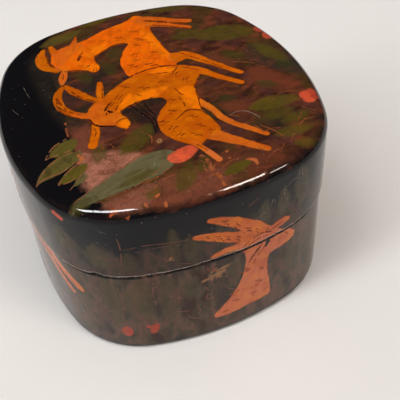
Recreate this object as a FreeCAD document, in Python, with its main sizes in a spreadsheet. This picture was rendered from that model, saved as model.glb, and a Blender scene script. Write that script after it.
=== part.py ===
"""A lidded papier-mache trinket box with a cushion-shaped footprint.

The box stands on its floor panel: the origin is the middle of the underside,
+Z is up, +X runs across the shorter side and +Y across the longer one.
Two glued halves meet at a saw cut. The base is a wall band on a floor panel,
lined by a collar that stands up past the cut. The lid is a wall band under a
round-edged top panel, and it drops over the collar. Every outline is parallel to
the base's own: four bowed sides joined by four rounder corners.
All lengths are millimetres.
"""

import FreeCAD, Part

import math
import os

import Sketcher

# Driving sizes of the whole box and of each piece
SIZES = {
    "base_half_x": (39.6, "middle to the base's outer face along X"),
    "base_half_y": (42.8, "middle to the base's outer face along Y"),
    "side_bow": (77.6, "radius of the base's bowed sides"),
    "corner_bow": (24.0, "radius of the base's corners"),
    "cut_height": (28.6, "table to the saw cut between base and lid"),
    "base_wall": (3.0, "thickness of the base's wall band"),
    "floor_depth": (3.0, "thickness of the floor panel"),
    "foot_round": (2.2, "rounding under the floor panel's edge"),
    "collar_wall": (1.6, "thickness of the collar"),
    "collar_rise": (5.4, "height of the collar above the saw cut"),
    "collar_lead": (0.7, "chamfer that guides the lid over the collar"),
    "lid_play": (0.35, "gap all round between collar and lid"),
    "lid_wall": (3.1, "thickness of the lid's wall band"),
    "lid_band": (17.0, "height of the lid's wall band"),
    "top_depth": (4.3, "thickness of the top panel"),
    "rim_round": (3.2, "rounding of the top panel's rim"),
    "cut_bevel": (0.4, "bevel of the sawn edges"),
}

PARTS_FOLDER = "parts"
SIDE_COUNT = 4
LEVEL_SLACK = 1e-4


def make_sheet(doc):
    """The spreadsheet that holds every driving size under its own alias."""
    sheet = doc.addObject("Spreadsheet::Sheet", "sizes")
    for row, (alias, (value, meaning)) in enumerate(SIZES.items(), start=1):
        sheet.set(f"A{row}", meaning)
        sheet.set(f"B{row}", str(value))
        sheet.setAlias(f"B{row}", alias)
    doc.recompute()
    return sheet


class Outline:
    """A line parallel to the base's outline, from named sizes added to it or taken off."""

    def __init__(self, sheet, added=(), removed=()):
        self.sheet = sheet
        self.shift = "".join(f" + sizes.{name}" for name in added)
        self.shift += "".join(f" - sizes.{name}" for name in removed)
        self.amount = sum(getattr(sheet, name) for name in added)
        self.amount -= sum(getattr(sheet, name) for name in removed)

    def size(self, name):
        return getattr(self.sheet, name) + self.amount

    def expression(self, name):
        return f"sizes.{name}{self.shift}"

    def corner_centre(self):
        """Where the corner arc's centre lies, so that it runs smoothly into both sides."""
        bow = self.sheet.side_bow
        reach = bow - self.sheet.corner_bow
        side_x = FreeCAD.Vector(self.sheet.base_half_x - bow, 0, 0)
        side_y = FreeCAD.Vector(0, self.sheet.base_half_y - bow, 0)
        middle = (side_x + side_y) / 2
        half_span = side_x.distanceToPoint(side_y) / 2
        along = (side_y - side_x).normalize()
        outward = FreeCAD.Vector(-along.y, along.x, 0)
        return middle + outward * math.sqrt(reach**2 - half_span**2)

    def arcs(self):
        """The eight arcs, anticlockwise from the +X side: side, corner, side, corner."""
        bow, corner_bow = self.size("side_bow"), self.size("corner_bow")
        offset_x = self.sheet.side_bow - self.sheet.base_half_x
        offset_y = self.sheet.side_bow - self.sheet.base_half_y
        corner = self.corner_centre()
        turn_x = math.atan2(corner.y, corner.x + offset_x)
        turn_y = math.atan2(corner.y + offset_y, corner.x)
        centres, radii, ends = [], [], []
        for quarter in range(SIDE_COUNT):
            along_x = quarter % 2 == 0
            facing = FreeCAD.Rotation(FreeCAD.Vector(0, 0, 1), 90 * quarter)
            offset = offset_x if along_x else offset_y
            centres.append(facing.multVec(FreeCAD.Vector(-offset, 0, 0)))
            radii.append(bow)
            half_turn = turn_x if along_x else math.pi / 2 - turn_y
            start = math.pi / 2 * quarter
            ends.append((start - half_turn, start + half_turn))
            sign_x = 1 if quarter in (0, 3) else -1
            sign_y = 1 if quarter < 2 else -1
            centres.append(FreeCAD.Vector(corner.x * sign_x, corner.y * sign_y, 0))
            radii.append(corner_bow)
            next_half = math.pi / 2 - turn_y if along_x else turn_x
            ends.append((start + half_turn, start + math.pi / 2 - next_half))
        up = FreeCAD.Vector(0, 0, 1)
        return [
            Part.ArcOfCircle(Part.Circle(c, up, r), a, b)
            for c, r, (a, b) in zip(centres, radii, ends)
        ]


def origin_plane(body, role):
    return next(f for f in body.Origin.OriginFeatures if f.Role == role)


def new_body(doc, label):
    body = doc.addObject("PartDesign::Body", label)
    body.Label = label
    return body


def constrain(sketch, name, expression, *constraint):
    """Adds one dimension to a sketch, names it and ties it to the sheet."""
    index = sketch.addConstraint(Sketcher.Constraint(*constraint))
    sketch.renameConstraint(index, name)
    sketch.setExpression(f"Constraints.{name}", expression)


def add_outline(sketch, outline, word):
    """Draws one cushion outline with tangent arcs and ties its sizes to the sheet."""
    first = sketch.GeometryCount
    sketch.addGeometry(outline.arcs(), False)
    count = 2 * SIDE_COUNT
    sides = [first + 2 * n for n in range(SIDE_COUNT)]
    corners = [side + 1 for side in sides]
    for n in range(count):
        following = first + (n + 1) % count
        sketch.addConstraint(Sketcher.Constraint("Tangent", first + n, 2, following, 1))
    for side in sides[1:]:
        sketch.addConstraint(Sketcher.Constraint("Equal", sides[0], side))
    for corner in corners[1:]:
        sketch.addConstraint(Sketcher.Constraint("Equal", corners[0], corner))
    for n, side in enumerate(sides):
        axis = -1 if n % 2 == 0 else -2
        sketch.addConstraint(Sketcher.Constraint("PointOnObject", side, 3, axis))
    constrain(
        sketch, f"{word}_side", outline.expression("side_bow"),
        "Radius", sides[0], outline.size("side_bow"),
    )
    constrain(
        sketch, f"{word}_corner", outline.expression("corner_bow"),
        "Radius", corners[0], outline.size("corner_bow"),
    )
    for n, side in enumerate(sides):
        kind, half = ("DistanceX", "base_half_x") if n % 2 == 0 else ("DistanceY", "base_half_y")
        offset = outline.sheet.side_bow - getattr(outline.sheet, half)
        ends = (side, 3, -1, 1) if n < 2 else (-1, 1, side, 3)
        constrain(
            sketch, f"{word}_centre_{n}", f"sizes.side_bow - sizes.{half}",
            kind, *ends, offset,
        )


def outline_sketch(body, name, height, outer, inner=None):
    """A level sketch of a panel's outline, or of a band's when it has an inner line too."""
    sketch = body.newObject("Sketcher::SketchObject", name)
    sketch.AttachmentSupport = (origin_plane(body, "XY_Plane"), [""])
    sketch.MapMode = "FlatFace"
    if height:
        sketch.setExpression("AttachmentOffset.Base.z", height)
    add_outline(sketch, outer, "outer")
    if inner:
        add_outline(sketch, inner, "inner")
    return sketch


def pad(doc, body, sketch, name, length):
    feature = body.newObject("PartDesign::Pad", name)
    feature.Profile = sketch
    feature.setExpression("Length", length)
    sketch.Visibility = False
    doc.recompute()
    return feature


def level_edges(shape, height, outline=None, slack=LEVEL_SLACK):
    """Names of the edges that lie level at a height, and on an outline if one is given."""
    names = []
    for n, edge in enumerate(shape.Edges, start=1):
        box = edge.BoundBox
        if abs(box.ZMin - height) > slack or abs(box.ZMax - height) > slack:
            continue
        if outline is None or on_outline(edge, outline, slack):
            names.append(f"Edge{n}")
    return names


def on_outline(edge, outline, slack):
    """Whether a level edge runs along one of an outline's arcs."""
    middle = edge.valueAt((edge.FirstParameter + edge.LastParameter) / 2)
    flat = Part.Vertex(FreeCAD.Vector(middle.x, middle.y, 0))
    wire = Part.Wire([arc.toShape() for arc in outline.arcs()])
    return wire.distToShape(flat)[0] < slack


def dress(doc, body, kind, name, base, edges, size):
    """A fillet or chamfer of a named size on some edges of the body so far."""
    feature = body.newObject(kind, name)
    feature.Base = (base, edges)
    feature.setExpression("Size" if kind.endswith("Chamfer") else "Radius", size)
    doc.recompute()
    return feature


def make_base_floor(doc, sheet):
    """The panel that the box stands on, rounded underneath."""
    body = new_body(doc, "base_floor")
    sketch = outline_sketch(body, "floor_outline", None, Outline(sheet))
    panel = pad(doc, body, sketch, "floor_panel", "sizes.floor_depth")
    edges = level_edges(panel.Shape, 0)
    dress(doc, body, "PartDesign::Fillet", "foot", panel, edges, "sizes.foot_round")
    return body


def make_base_wall(doc, sheet):
    """The band glued on the floor panel, sawn off level at the top."""
    body = new_body(doc, "base_wall")
    outer, inner = Outline(sheet), Outline(sheet, removed=["base_wall"])
    sketch = outline_sketch(body, "base_band_outline", "sizes.floor_depth", outer, inner)
    band = pad(doc, body, sketch, "base_band", "sizes.cut_height - sizes.floor_depth")
    edges = level_edges(band.Shape, sheet.cut_height, outer)
    dress(doc, body, "PartDesign::Chamfer", "base_cut_edge", band, edges, "sizes.cut_bevel")
    return body


def make_base_collar(doc, sheet):
    """The lining band that stands on the floor and rises past the cut to hold the lid."""
    body = new_body(doc, "base_collar")
    outer = Outline(sheet, removed=["base_wall"])
    inner = Outline(sheet, removed=["base_wall", "collar_wall"])
    sketch = outline_sketch(body, "collar_outline", "sizes.floor_depth", outer, inner)
    height = "sizes.cut_height + sizes.collar_rise - sizes.floor_depth"
    band = pad(doc, body, sketch, "collar_band", height)
    top = sheet.cut_height + sheet.collar_rise
    lead = dress(
        doc, body, "PartDesign::Chamfer", "collar_lead_in", band,
        level_edges(band.Shape, top, outer), "sizes.collar_lead",
    )
    dress(
        doc, body, "PartDesign::Chamfer", "collar_lip", lead,
        level_edges(lead.Shape, top, inner), "sizes.cut_bevel",
    )
    return body


def lid_outlines(sheet):
    """The lid's outer and inner lines, which follow the collar and the play round it."""
    inner = Outline(sheet, added=["lid_play"], removed=["base_wall"])
    outer = Outline(sheet, added=["lid_play", "lid_wall"], removed=["base_wall"])
    return outer, inner


def make_lid_wall(doc, sheet):
    """The lid's band, which rests on the base's sawn edge."""
    body = new_body(doc, "lid_wall")
    outer, inner = lid_outlines(sheet)
    sketch = outline_sketch(body, "lid_band_outline", "sizes.cut_height", outer, inner)
    band = pad(doc, body, sketch, "lid_band_pad", "sizes.lid_band")
    edges = level_edges(band.Shape, sheet.cut_height)
    dress(doc, body, "PartDesign::Chamfer", "lid_cut_edge", band, edges, "sizes.cut_bevel")
    return body


def make_lid_top(doc, sheet):
    """The panel glued on the lid's band, with a well-rounded rim."""
    body = new_body(doc, "lid_top")
    outer, _ = lid_outlines(sheet)
    sketch = outline_sketch(body, "top_outline", "sizes.cut_height + sizes.lid_band", outer)
    panel = pad(doc, body, sketch, "top_panel", "sizes.top_depth")
    edges = level_edges(panel.Shape, sheet.cut_height + sheet.lid_band + sheet.top_depth)
    dress(doc, body, "PartDesign::Fillet", "rim", panel, edges, "sizes.rim_round")
    return body


def check_document(doc):
    """Stops the build if anything in the document failed without raising."""
    for thing in doc.Objects:
        if "Invalid" in thing.State or "Error" in thing.State:
            raise RuntimeError(f"{thing.Label} failed: {thing.State}")


def export(bodies):
    os.makedirs(PARTS_FOLDER, exist_ok=True)
    for body in bodies:
        shape = body.Shape
        if shape.isNull() or not shape.isValid() or not shape.Solids:
            raise RuntimeError(f"{body.Label} has no valid solid")
    for body in bodies:
        body.Shape.exportStep(os.path.join(PARTS_FOLDER, f"{body.Label}.step"))
        box = body.Shape.optimalBoundingBox(False)
        print(
            f"{body.Label}: {box.XLength:.2f} x {box.YLength:.2f} x {box.ZLength:.2f} mm, "
            f"from z {box.ZMin:.2f} to {box.ZMax:.2f}, {body.Shape.Volume:.0f} mm3"
        )


def main():
    doc = FreeCAD.newDocument("papier_mache_box")
    sheet = make_sheet(doc)
    makers = [make_base_floor, make_base_wall, make_base_collar, make_lid_wall, make_lid_top]
    bodies = [make(doc, sheet) for make in makers]
    doc.recompute()
    check_document(doc)
    export(bodies)


main()
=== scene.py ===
"""A lacquered papier-mache box painted with leaping antelopes among leaves and buds."""

import math

import bpy
import numpy as np
from mathutils import Matrix, Vector
from mathutils.bvhtree import BVHTree


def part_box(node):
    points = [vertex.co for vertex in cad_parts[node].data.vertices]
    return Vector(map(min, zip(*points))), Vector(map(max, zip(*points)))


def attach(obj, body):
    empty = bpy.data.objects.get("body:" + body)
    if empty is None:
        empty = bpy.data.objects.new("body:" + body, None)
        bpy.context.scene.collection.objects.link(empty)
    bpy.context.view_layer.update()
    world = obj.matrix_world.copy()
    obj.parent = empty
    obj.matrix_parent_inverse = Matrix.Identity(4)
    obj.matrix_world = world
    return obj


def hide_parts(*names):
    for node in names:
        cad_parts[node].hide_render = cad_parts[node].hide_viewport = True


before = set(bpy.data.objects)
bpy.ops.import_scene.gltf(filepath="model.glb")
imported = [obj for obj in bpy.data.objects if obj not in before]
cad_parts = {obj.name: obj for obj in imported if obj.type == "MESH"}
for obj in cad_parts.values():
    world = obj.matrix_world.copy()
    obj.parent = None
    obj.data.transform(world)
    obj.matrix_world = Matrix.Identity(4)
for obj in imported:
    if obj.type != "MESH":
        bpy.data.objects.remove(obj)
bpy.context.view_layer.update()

# Lengths are millimetres until a mesh is made
MM = 0.001
PHOTO = 400

# Camera, as fitted to the photograph
CAMERA_AZIMUTH = math.radians(-16.98)
CAMERA_ELEVATION = math.radians(40.37)
CAMERA_ROLL = math.radians(-5.61)
CAMERA_DISTANCE = 194.6
CAMERA_ASIDE = 5.4
CAMERA_RAISED = 20.7
FOCAL_PIXELS = 632.8
SENSOR = 36.0
PHOTO_CENTRE = (180.0, 150.0)

# The lacquer's surface against the CAD solids
SIDE_BOW = 78.05
CORNER_BOW = 24.45
SKIN_INSET = 0.06
COAT_IOR = 1.26
RIM_ROUND = 3.2
FOOT_ROUND = 1.3
CUT_EASE = 0.55
LID_CROWN = 0.25
LID_WALL = 3.1
BASE_WALL = 3.0
LINE_LIFT = 0.03
LINE_DEPTH = 0.05
LINE_STEP = 0.35

# Mesh density of the painted surface, and of the curves that bound the paint
CURVE_STEPS = 5
SIDE_CELLS = 172
RING_COUNT = 4 * SIDE_CELLS
CELL = 0.4
FAR_FROM_PAINT = 3.0
OFF_CHART = 1e3

# Places on the lid's top are looked for from this far above it, this far down, where it isn't too steep
LOOK_FROM = 5.0
LOOK_DOWN = 12.0
LEAST_LEVEL = 0.25


def corners_mm(*nodes):
    """Lowest and highest corner of some CAD nodes, in millimetres."""
    boxes = [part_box(node) for node in nodes]
    low = np.min([np.array(box[0]) for box in boxes], axis=0) / MM
    high = np.max([np.array(box[1]) for box in boxes], axis=0) / MM
    return low, high


LID_LOW, LID_HIGH = corners_mm("lid_wall", "lid_top")
CEILING = corners_mm("lid_top")[0][2]
BASE_LOW, BASE_HIGH = corners_mm("base_floor", "base_wall")
FLOOR_TOP = corners_mm("base_floor")[1][2]
BASE_INSET = LID_HIGH[1] - BASE_HIGH[1]


class Outline:
    """The lid's outer line and every line parallel to it, measured from the middle of the near side."""

    def __init__(self, half_x, half_y, side_bow, corner_bow):
        off_x, off_y = side_bow - half_x, side_bow - half_y
        reach = side_bow - corner_bow
        span = math.hypot(off_x, off_y)
        rise = math.sqrt(reach**2 - span**2 / 4)
        corner = (-off_x / 2 + rise * off_y / span, -off_y / 2 + rise * off_x / span)
        turn_x = math.atan2(corner[1], corner[0] + off_x)
        turn_y = math.atan2(corner[1] + off_y, corner[0])
        half, full = math.pi / 2, math.pi
        self.turns = np.array([
            -half, -turn_y, -turn_x, turn_x, turn_y, full - turn_y, full - turn_x,
            full + turn_x, full + turn_y, full + half,
        ])
        cx, cy = corner
        self.centres = np.array([
            (0, off_y), (cx, -cy), (-off_x, 0), (cx, cy), (0, -off_y), (-cx, cy), (off_x, 0),
            (-cx, -cy), (0, off_y),
        ])
        self.radii = np.array([side_bow, corner_bow] * 4 + [side_bow])
        self.lengths = np.concatenate([[0], np.cumsum(np.diff(self.turns) * self.radii)])
        self.length = self.lengths[-1]

    def at(self, along, outward=0.0):
        """Points, and the directions they face, at lengths along the line and distances off it."""
        along = np.mod(along, self.length)
        turn = np.interp(along, self.lengths, self.turns)
        arc = np.clip(np.searchsorted(self.lengths, along, side="right") - 1, 0, len(self.radii) - 1)
        facing = np.stack([np.cos(turn), np.sin(turn)], axis=-1)
        radius = (self.radii[arc] + outward)[..., None]
        return self.centres[arc] + facing * radius, facing


OUTLINE = Outline(
    LID_HIGH[0] - SKIN_INSET, LID_HIGH[1] - SKIN_INSET, SIDE_BOW - SKIN_INSET, CORNER_BOW - SKIN_INSET
)
LID_TOP = LID_HIGH[2] - SKIN_INSET
CUT = LID_LOW[2]
RIM_START = LID_TOP - LID_CROWN - RIM_ROUND
QUARTER = math.pi / 2
RIM_LENGTH = RIM_ROUND * QUARTER
EASE_ANGLES = [math.radians(degrees) for degrees in (30, 60, 90)]
PERIMETER = OUTLINE.length


def crown_drop(share):
    """How far the top has dropped at a share of the way from its middle to its rim."""
    return LID_CROWN * share**2


# Painted shapes. A stroke is a row of (x, y, half width) joined round; a patch is a closed smooth line.
def smooth_row(points, closed=False):
    """More points along a smooth curve through the given ones."""
    pts = np.array(points, float)
    count = len(pts)
    if count < 3:
        return pts
    if closed:
        before, after, last = np.roll(pts, 1, 0), np.roll(pts, -1, 0), np.roll(pts, -2, 0)
        spans = count
    else:
        padded = np.vstack([2 * pts[0] - pts[1], pts, 2 * pts[-1] - pts[-2]])
        before, pts, after, last = padded[:-3], padded[1:-2], padded[2:-1], padded[3:]
        spans = count - 1
    rows = []
    for n in range(spans):
        for t in np.arange(CURVE_STEPS) / CURVE_STEPS:
            rows.append(0.5 * (
                2 * pts[n] + (after[n] - before[n]) * t
                + (2 * before[n] - 5 * pts[n] + 4 * after[n] - last[n]) * t**2
                + (3 * pts[n] - before[n] - 3 * after[n] + last[n]) * t**3
            ))
    if not closed:
        rows.append(after[-1])
    return np.array(rows)


class Stroke:
    """One stroke of a brush: a curved spine whose half width changes along it."""

    def __init__(self, points, tone=0.5):
        self.spine = smooth_row(points)
        self.tone = tone

    def box(self):
        half = self.spine[:, 2:].max()
        return self.spine[:, :2].min(0) - half, self.spine[:, :2].max(0) + half

    def measure(self, points):
        """Signed distance (inside is negative), length along and distance across, at points."""
        best = np.full(len(points), np.inf)
        along_best, across_best = np.zeros(len(points)), np.zeros(len(points))
        run = 0.0
        for a, b in zip(self.spine[:-1], self.spine[1:]):
            edge = b[:2] - a[:2]
            length = max(np.hypot(*edge), 1e-6)
            unit = edge / length
            away = points - a[:2]
            along = away @ unit
            t = np.clip(along / length, 0, 1)
            side = away[:, 0] * -unit[1] + away[:, 1] * unit[0]
            nearest = away - np.outer(t * length, unit)
            distance = np.hypot(nearest[:, 0], nearest[:, 1]) - (a[2] + (b[2] - a[2]) * t)
            closer = distance < best
            best[closer] = distance[closer]
            along_best[closer], across_best[closer] = (run + along)[closer], side[closer]
            run += length
        return best, along_best, across_best


class Patch:
    """A painted area inside one closed smooth line, with its brush marks at an angle."""

    def __init__(self, points, tone=0.5, marks=0.0):
        self.line = smooth_row(points, closed=True)
        self.tone = tone
        self.marks = marks

    def box(self):
        return self.line.min(0), self.line.max(0)

    def measure(self, points):
        best = np.full(len(points), np.inf)
        inside = np.zeros(len(points), bool)
        for a, b in zip(self.line, np.roll(self.line, -1, 0)):
            edge = b - a
            away = points - a
            t = np.clip(away @ edge / max(edge @ edge, 1e-12), 0, 1)
            nearest = away - np.outer(t, edge)
            best = np.minimum(best, np.hypot(nearest[:, 0], nearest[:, 1]))
            if a[1] != b[1]:
                crosses = (a[1] > points[:, 1]) != (b[1] > points[:, 1])
                at_x = a[0] + (points[:, 1] - a[1]) * edge[0] / edge[1]
                inside ^= crosses & (points[:, 0] < at_x)
        cos, sin = math.cos(self.marks), math.sin(self.marks)
        along = points[:, 0] * cos + points[:, 1] * sin
        across = -points[:, 0] * sin + points[:, 1] * cos
        return np.where(inside, -best, best), along, across


def leaf(root, tip, half, tone=0.5, bend=0.0):
    """A pointed leaf from its root to its tip, widest before the middle."""
    return Stroke([(*centre, half * width) for centre, _, width in leaf_spine(root, tip, bend)], tone)


def leaf_spine(root, tip, bend):
    """Places down the middle of a leaf, the direction to its side, and its relative width there."""
    root, tip = np.array(root, float), np.array(tip, float)
    run = tip - root
    side = np.array([-run[1], run[0]])
    for share, width in ((0, 0.25), (0.18, 0.72), (0.4, 1.0), (0.65, 0.82), (0.86, 0.4), (1, 0.04)):
        yield root + run * share + side * bend * math.sin(math.pi * share), side / np.hypot(*run), width


def leaf_lines(root, tip, half, bend=0.0, gap=0.4, width=0.1):
    """The two thin lines round a leaf, a little off its paint, that meet at its tip."""
    spine = list(leaf_spine(root, tip, bend))
    return [
        Stroke([
            (*(centre + side * sign * (half * share + gap * share**0.5)), width)
            for centre, side, share in spine
        ])
        for sign in (-1, 1)
    ]


def line(*points, width=0.16):
    """A thin brush line that starts and ends finer."""
    last = len(points) - 1
    return Stroke([
        (*point, width * (0.45 + 0.55 * math.sin(math.pi * min(max(n / last, 0.12), 0.88))))
        for n, point in enumerate(points)
    ])


def lines(*rows):
    """Thin brush lines, each from its width and its points."""
    return [line(*points, width=width) for width, *points in rows]


def tick(x, y, turn=0.0, size=1.0):
    """A hair mark of two or three short bent dashes, one above the other."""
    lean = 25 * math.sin(3 * x + 5 * y)
    dashes = [
        line((-0.95, 0.45), (-0.2, 0.3), (0.35, 0.55), width=0.13),
        line((-0.35, -0.3), (0.45, -0.2), (0.95, -0.5), width=0.14),
        line((-0.9, -0.6), (-0.5, -0.95), width=0.12),
    ]
    return placed(dashes[: 3 if lean > -6 else 2], (x, y), size * 1.2, 0.4 * turn + lean)


def ticks(*rows):
    """Hair marks, each from its place, turn and size."""
    return [dash for row in rows for dash in tick(*row)]


def dabs(x, y, reach, count, tone=1.0):
    """A flower touched in with a nearly dry brush: short pale dabs thrown round a middle."""
    rows = []
    for n in range(count):
        turn, share = n * 2.4, (n + 0.5) / count
        far = share**0.7 * (1 + 0.3 * math.sin(5 * n))
        px, py = far * math.cos(turn), far * math.sin(turn) * 0.75
        dx, dy = 0.12 * math.cos(turn + n), 0.12 * math.sin(turn + n)
        half = 0.1 - 0.04 * share + 0.025 * math.sin(7 * n)
        start, end = (px - dx, py - dy, half * 0.5), (px + dx, py + dy, half * 0.4)
        rows.append(Stroke([start, (px, py, half), end], tone))
    return placed(rows, (x, y), reach)


def dot(x, y, radius=0.5):
    """A small round dab."""
    return Stroke([(x - radius * 0.3, y, radius * 0.8), (x, y, radius), (x + radius * 0.3, y, radius * 0.7)])


def bud(centre, half_long, half_wide, turn=0.0, tone=0.5):
    """A rounded bud, longer one way, turned by degrees."""
    angle = math.radians(turn)
    along = np.array([math.cos(angle), math.sin(angle)])
    reach = half_long - half_wide
    ends = [np.array(centre) + along * reach * sign for sign in (-1, 1)]
    return Stroke([(*ends[0], half_wide * 0.9), (*centre, half_wide), (*ends[1], half_wide * 0.8)], tone)


def placed(shapes, at, size=1.0, turn=0.0, mirror=False):
    """Copies of shapes, sized, turned by degrees and moved on the surface."""
    angle = math.radians(turn)
    spin = np.array([[math.cos(angle), math.sin(angle)], [-math.sin(angle), math.cos(angle)]]) * size
    if mirror:
        spin = np.diag([-1, 1]) @ spin
    copies = []
    for shape in shapes:
        copy = object.__new__(type(shape))
        copy.__dict__.update(shape.__dict__)
        if isinstance(shape, Stroke):
            spine = shape.spine.copy()
            spine[:, :2] = spine[:, :2] @ spin + np.array(at)
            spine[:, 2] *= size
            copy.spine = spine
        else:
            copy.line = shape.line @ spin + np.array(at)
            copy.marks = (math.pi - shape.marks if mirror else shape.marks) + angle
        copies.append(copy)
    return copies


# The lid's top, measured in millimetres from its middle: x to the right, y away
NEAR_ANTELOPE = [
    Patch([
        (-13.2, 0.3), (-9.5, 3.3), (-5.5, 5.4), (-1, 6.4), (3.5, 6.7), (7.2, 5.5), (10.6, 5.4), (12.6, 2.6),
        (12.7, -0.6), (10.6, -3.7), (9.3, -7), (8.2, -11.5), (7.5, -14.8), (8.2, -18.5), (8.9, -23),
        (7.2, -25.8), (4.6, -26.1), (2.5, -27.2), (0.2, -26.2), (-2.6, -23), (-4.2, -18.5), (-3.6, -14.2),
        (-1.4, -10.8), (0.7, -8.6), (0.3, -6.4), (-2.5, -5.3), (-6, -5.2), (-8.6, -6.1), (-10.5, -7.3),
        (-10.6, -8.8), (-9.8, -10.6), (-9.9, -12.8), (-11.1, -14.3), (-12.6, -13.4), (-13.7, -12.1),
        (-15.9, -11.1), (-17.9, -9), (-18.6, -6), (-17.9, -3), (-16, -1),
    ], tone=0.22, marks=0.6),
    Stroke([(9, 4, 1.9), (13.3, 0.9, 1.5), (17, -4.2, 1.1), (20.8, -8.8, 0.95)], 0.3),
    Stroke([(7.6, -11, 1.2), (9.8, -15.5, 1.05), (11.2, -21.4, 0.9), (17.4, -30, 0.85)], 0.34),
    Stroke([(5.6, -24.4, 2.1), (9.6, -28.6, 1.5), (13, -32.2, 1.15), (15.5, -34.7, 0.9)], 0.34),
    Stroke([(1.2, -26.2, 0.9), (2.8, -29.5, 0.8), (4.2, -33.6, 0.75)], 0.42),
    Stroke([
        (-18.4, -5.6, 1.1), (-21.4, -3.2, 1.2), (-23.5, 0.2, 1.25), (-24, 4.2, 1.2), (-23.2, 7.4, 1.05),
        (-21.8, 9.5, 0.7),
    ], 0.12),
    Stroke([(-15.2, 0.2, 1.0), (-17.4, 3.2, 1.3), (-19.4, 6.7, 1.25), (-20.6, 9.9, 0.7)], 0.15),
    Stroke([(-13.9, 0, 0.9), (-13.1, 3.8, 1.0), (-12.2, 7.1, 0.85)], 0.3),
    Stroke([(-17.9, -9.6, 0.9), (-18.8, -13.4, 1.25), (-20.3, -16.8, 1.15)], 0.3),
]
NEAR_ANTELOPE_GLOW = [
    Patch([(-11.5, -7), (-9.5, -3.5), (-6.5, -1.2), (-6.2, -5), (-8.4, -6.2)]),
    Patch([(1, 5.8), (4, 6.6), (7.6, 5.6), (6.4, 3.6), (3, 3.6)]),
    Patch([(5, -5), (8.6, -4.6), (9.2, -8), (7.8, -14.5), (5.6, -13.6), (5.2, -9)]),
    Patch([(-6, -2.6), (-1, -1.6), (3, -2.6), (0, -5), (-5, -5)]),
    Patch([(-13, -12.2), (-11, -10.6), (-10, -11), (-10.2, -13.6), (-11.6, -14)]),
]
NEAR_ANTELOPE_ROSE = [
    Patch([
        (-18.5, -6), (-16, -1.5), (-13.6, -1.6), (-13.2, -5), (-11.4, -8.4), (-13.2, -11.8), (-17, -10),
    ]),
    Stroke([(-18.6, -5.4, 1.4), (-21, -3.6, 1.2)]),
    Stroke([(1.2, -26, 1.2), (2.6, -29, 0.9)]),
]
NEAR_ANTELOPE_LINES = [
    line((-14.2, -7.1), (-13.7, -4.7), (-11.7, -2.5), (-9.1, -0.3), width=0.2),
    line((-13.5, -4.9), (-11.3, -3.1), (-9.5, -1.8), (-8.1, -0.6), width=0.15),
    line((-11.7, -6.4), (-11, -5.1), (-8.8, -2.6), width=0.15),
    dot(-13, -6.2, 0.5),
    line((-18.5, -6.4), (-18.4, -8.4), (-17.3, -10.2), (-15.3, -11.3), (-13.5, -12), width=0.3),
    line((-13.5, -12), (-12.6, -10.8), (-11.3, -10.3), (-9.9, -10.4), width=0.2),
    line((-11.9, -13.8), (-11.4, -14.6), width=0.15),
    line((-10.6, -13.6), (-10.3, -14.4), width=0.15),
    line((-10.8, -7), (-7.3, -6.3), (-5.1, -5.4), (-1.5, -5.1), width=0.2),
    line((0.3, -16.3), (3.2, -14.4), (4.9, -14), (6.9, -15.2), (7.5, -16.4), width=0.26),
    line((4.7, -4), (5.05, -6.6), (5.8, -7.7), width=0.18),
    line((4.3, -8), (4.5, -10.6), (4.3, -12.4), width=0.18),
    line((12.9, -0.7), (10.9, -3.6), (9.5, -5.4), (8.9, -9.1), (8, -12.4), (7.4, -15.3), width=0.2),
    line((-4, 6.3), (0.7, 7.3), (2.9, 7.5), (5.8, 7.2), (8.9, 5.8), width=0.24),
    line((2.5, 4.4), (5.1, 3.8), (6.9, 3.4), (8.9, 5.1), width=0.22),
    line((0.5, 5.2), (2.4, 4.4), width=0.15),
    line((9.3, 4.6), (11.5, 3), (13.6, 0.6), width=0.14),
    line((-24.8, 3.4), (-24.2, -0.6), (-22.2, -3.8), (-19.4, -6.2), width=0.16),
    line((-24.1, 5.6), (-23.9, 3.6), (-23.4, 1.8), width=0.3),
    line((-23.2, 0.6), (-22.7, -0.7), width=0.3),
    line((-22.3, -1.4), (-21.5, -2.6), width=0.28),
    line((-20.9, -3.2), (-19.9, -4.1), width=0.2),
    line((-19.9, 6.8), (-19, 4.4), (-17.9, 2.6), width=0.26),
    line((-17.4, 2.1), (-16.4, 0.9), (-15.5, -0.3), width=0.22),
    line((-13.3, 0.2), (-12.7, 2.5), (-12.1, 4.9), width=0.15),
    line((-18.3, -10.6), (-18.3, -12.4), (-19.2, -14.2), width=0.15),
    line((1.5, -26.6), (2.4, -28.3), (3, -29.8), width=0.15),
    *ticks(
        (-2.4, -0.2, 70, 1.2), (-6.6, 2.4, 20), (3, 0.1, 10), (7, 2.4, 30, 1.1), (8.6, -1.2, 60),
        (2.1, -8.3, -10), (1, -12.6, -20), (-2.3, -15.8, -50, 1.1), (-1.3, -18.9, 25, 1.1),
        (4.6, -16.9, 40), (5, -20.8, 10), (2.9, -23.4, 15, 1.1), (-0.3, -21.9, 20), (6.6, -23.4, 50, 0.8),
        (-4.6, -2.6, 0, 0.8),
    ),
]
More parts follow.
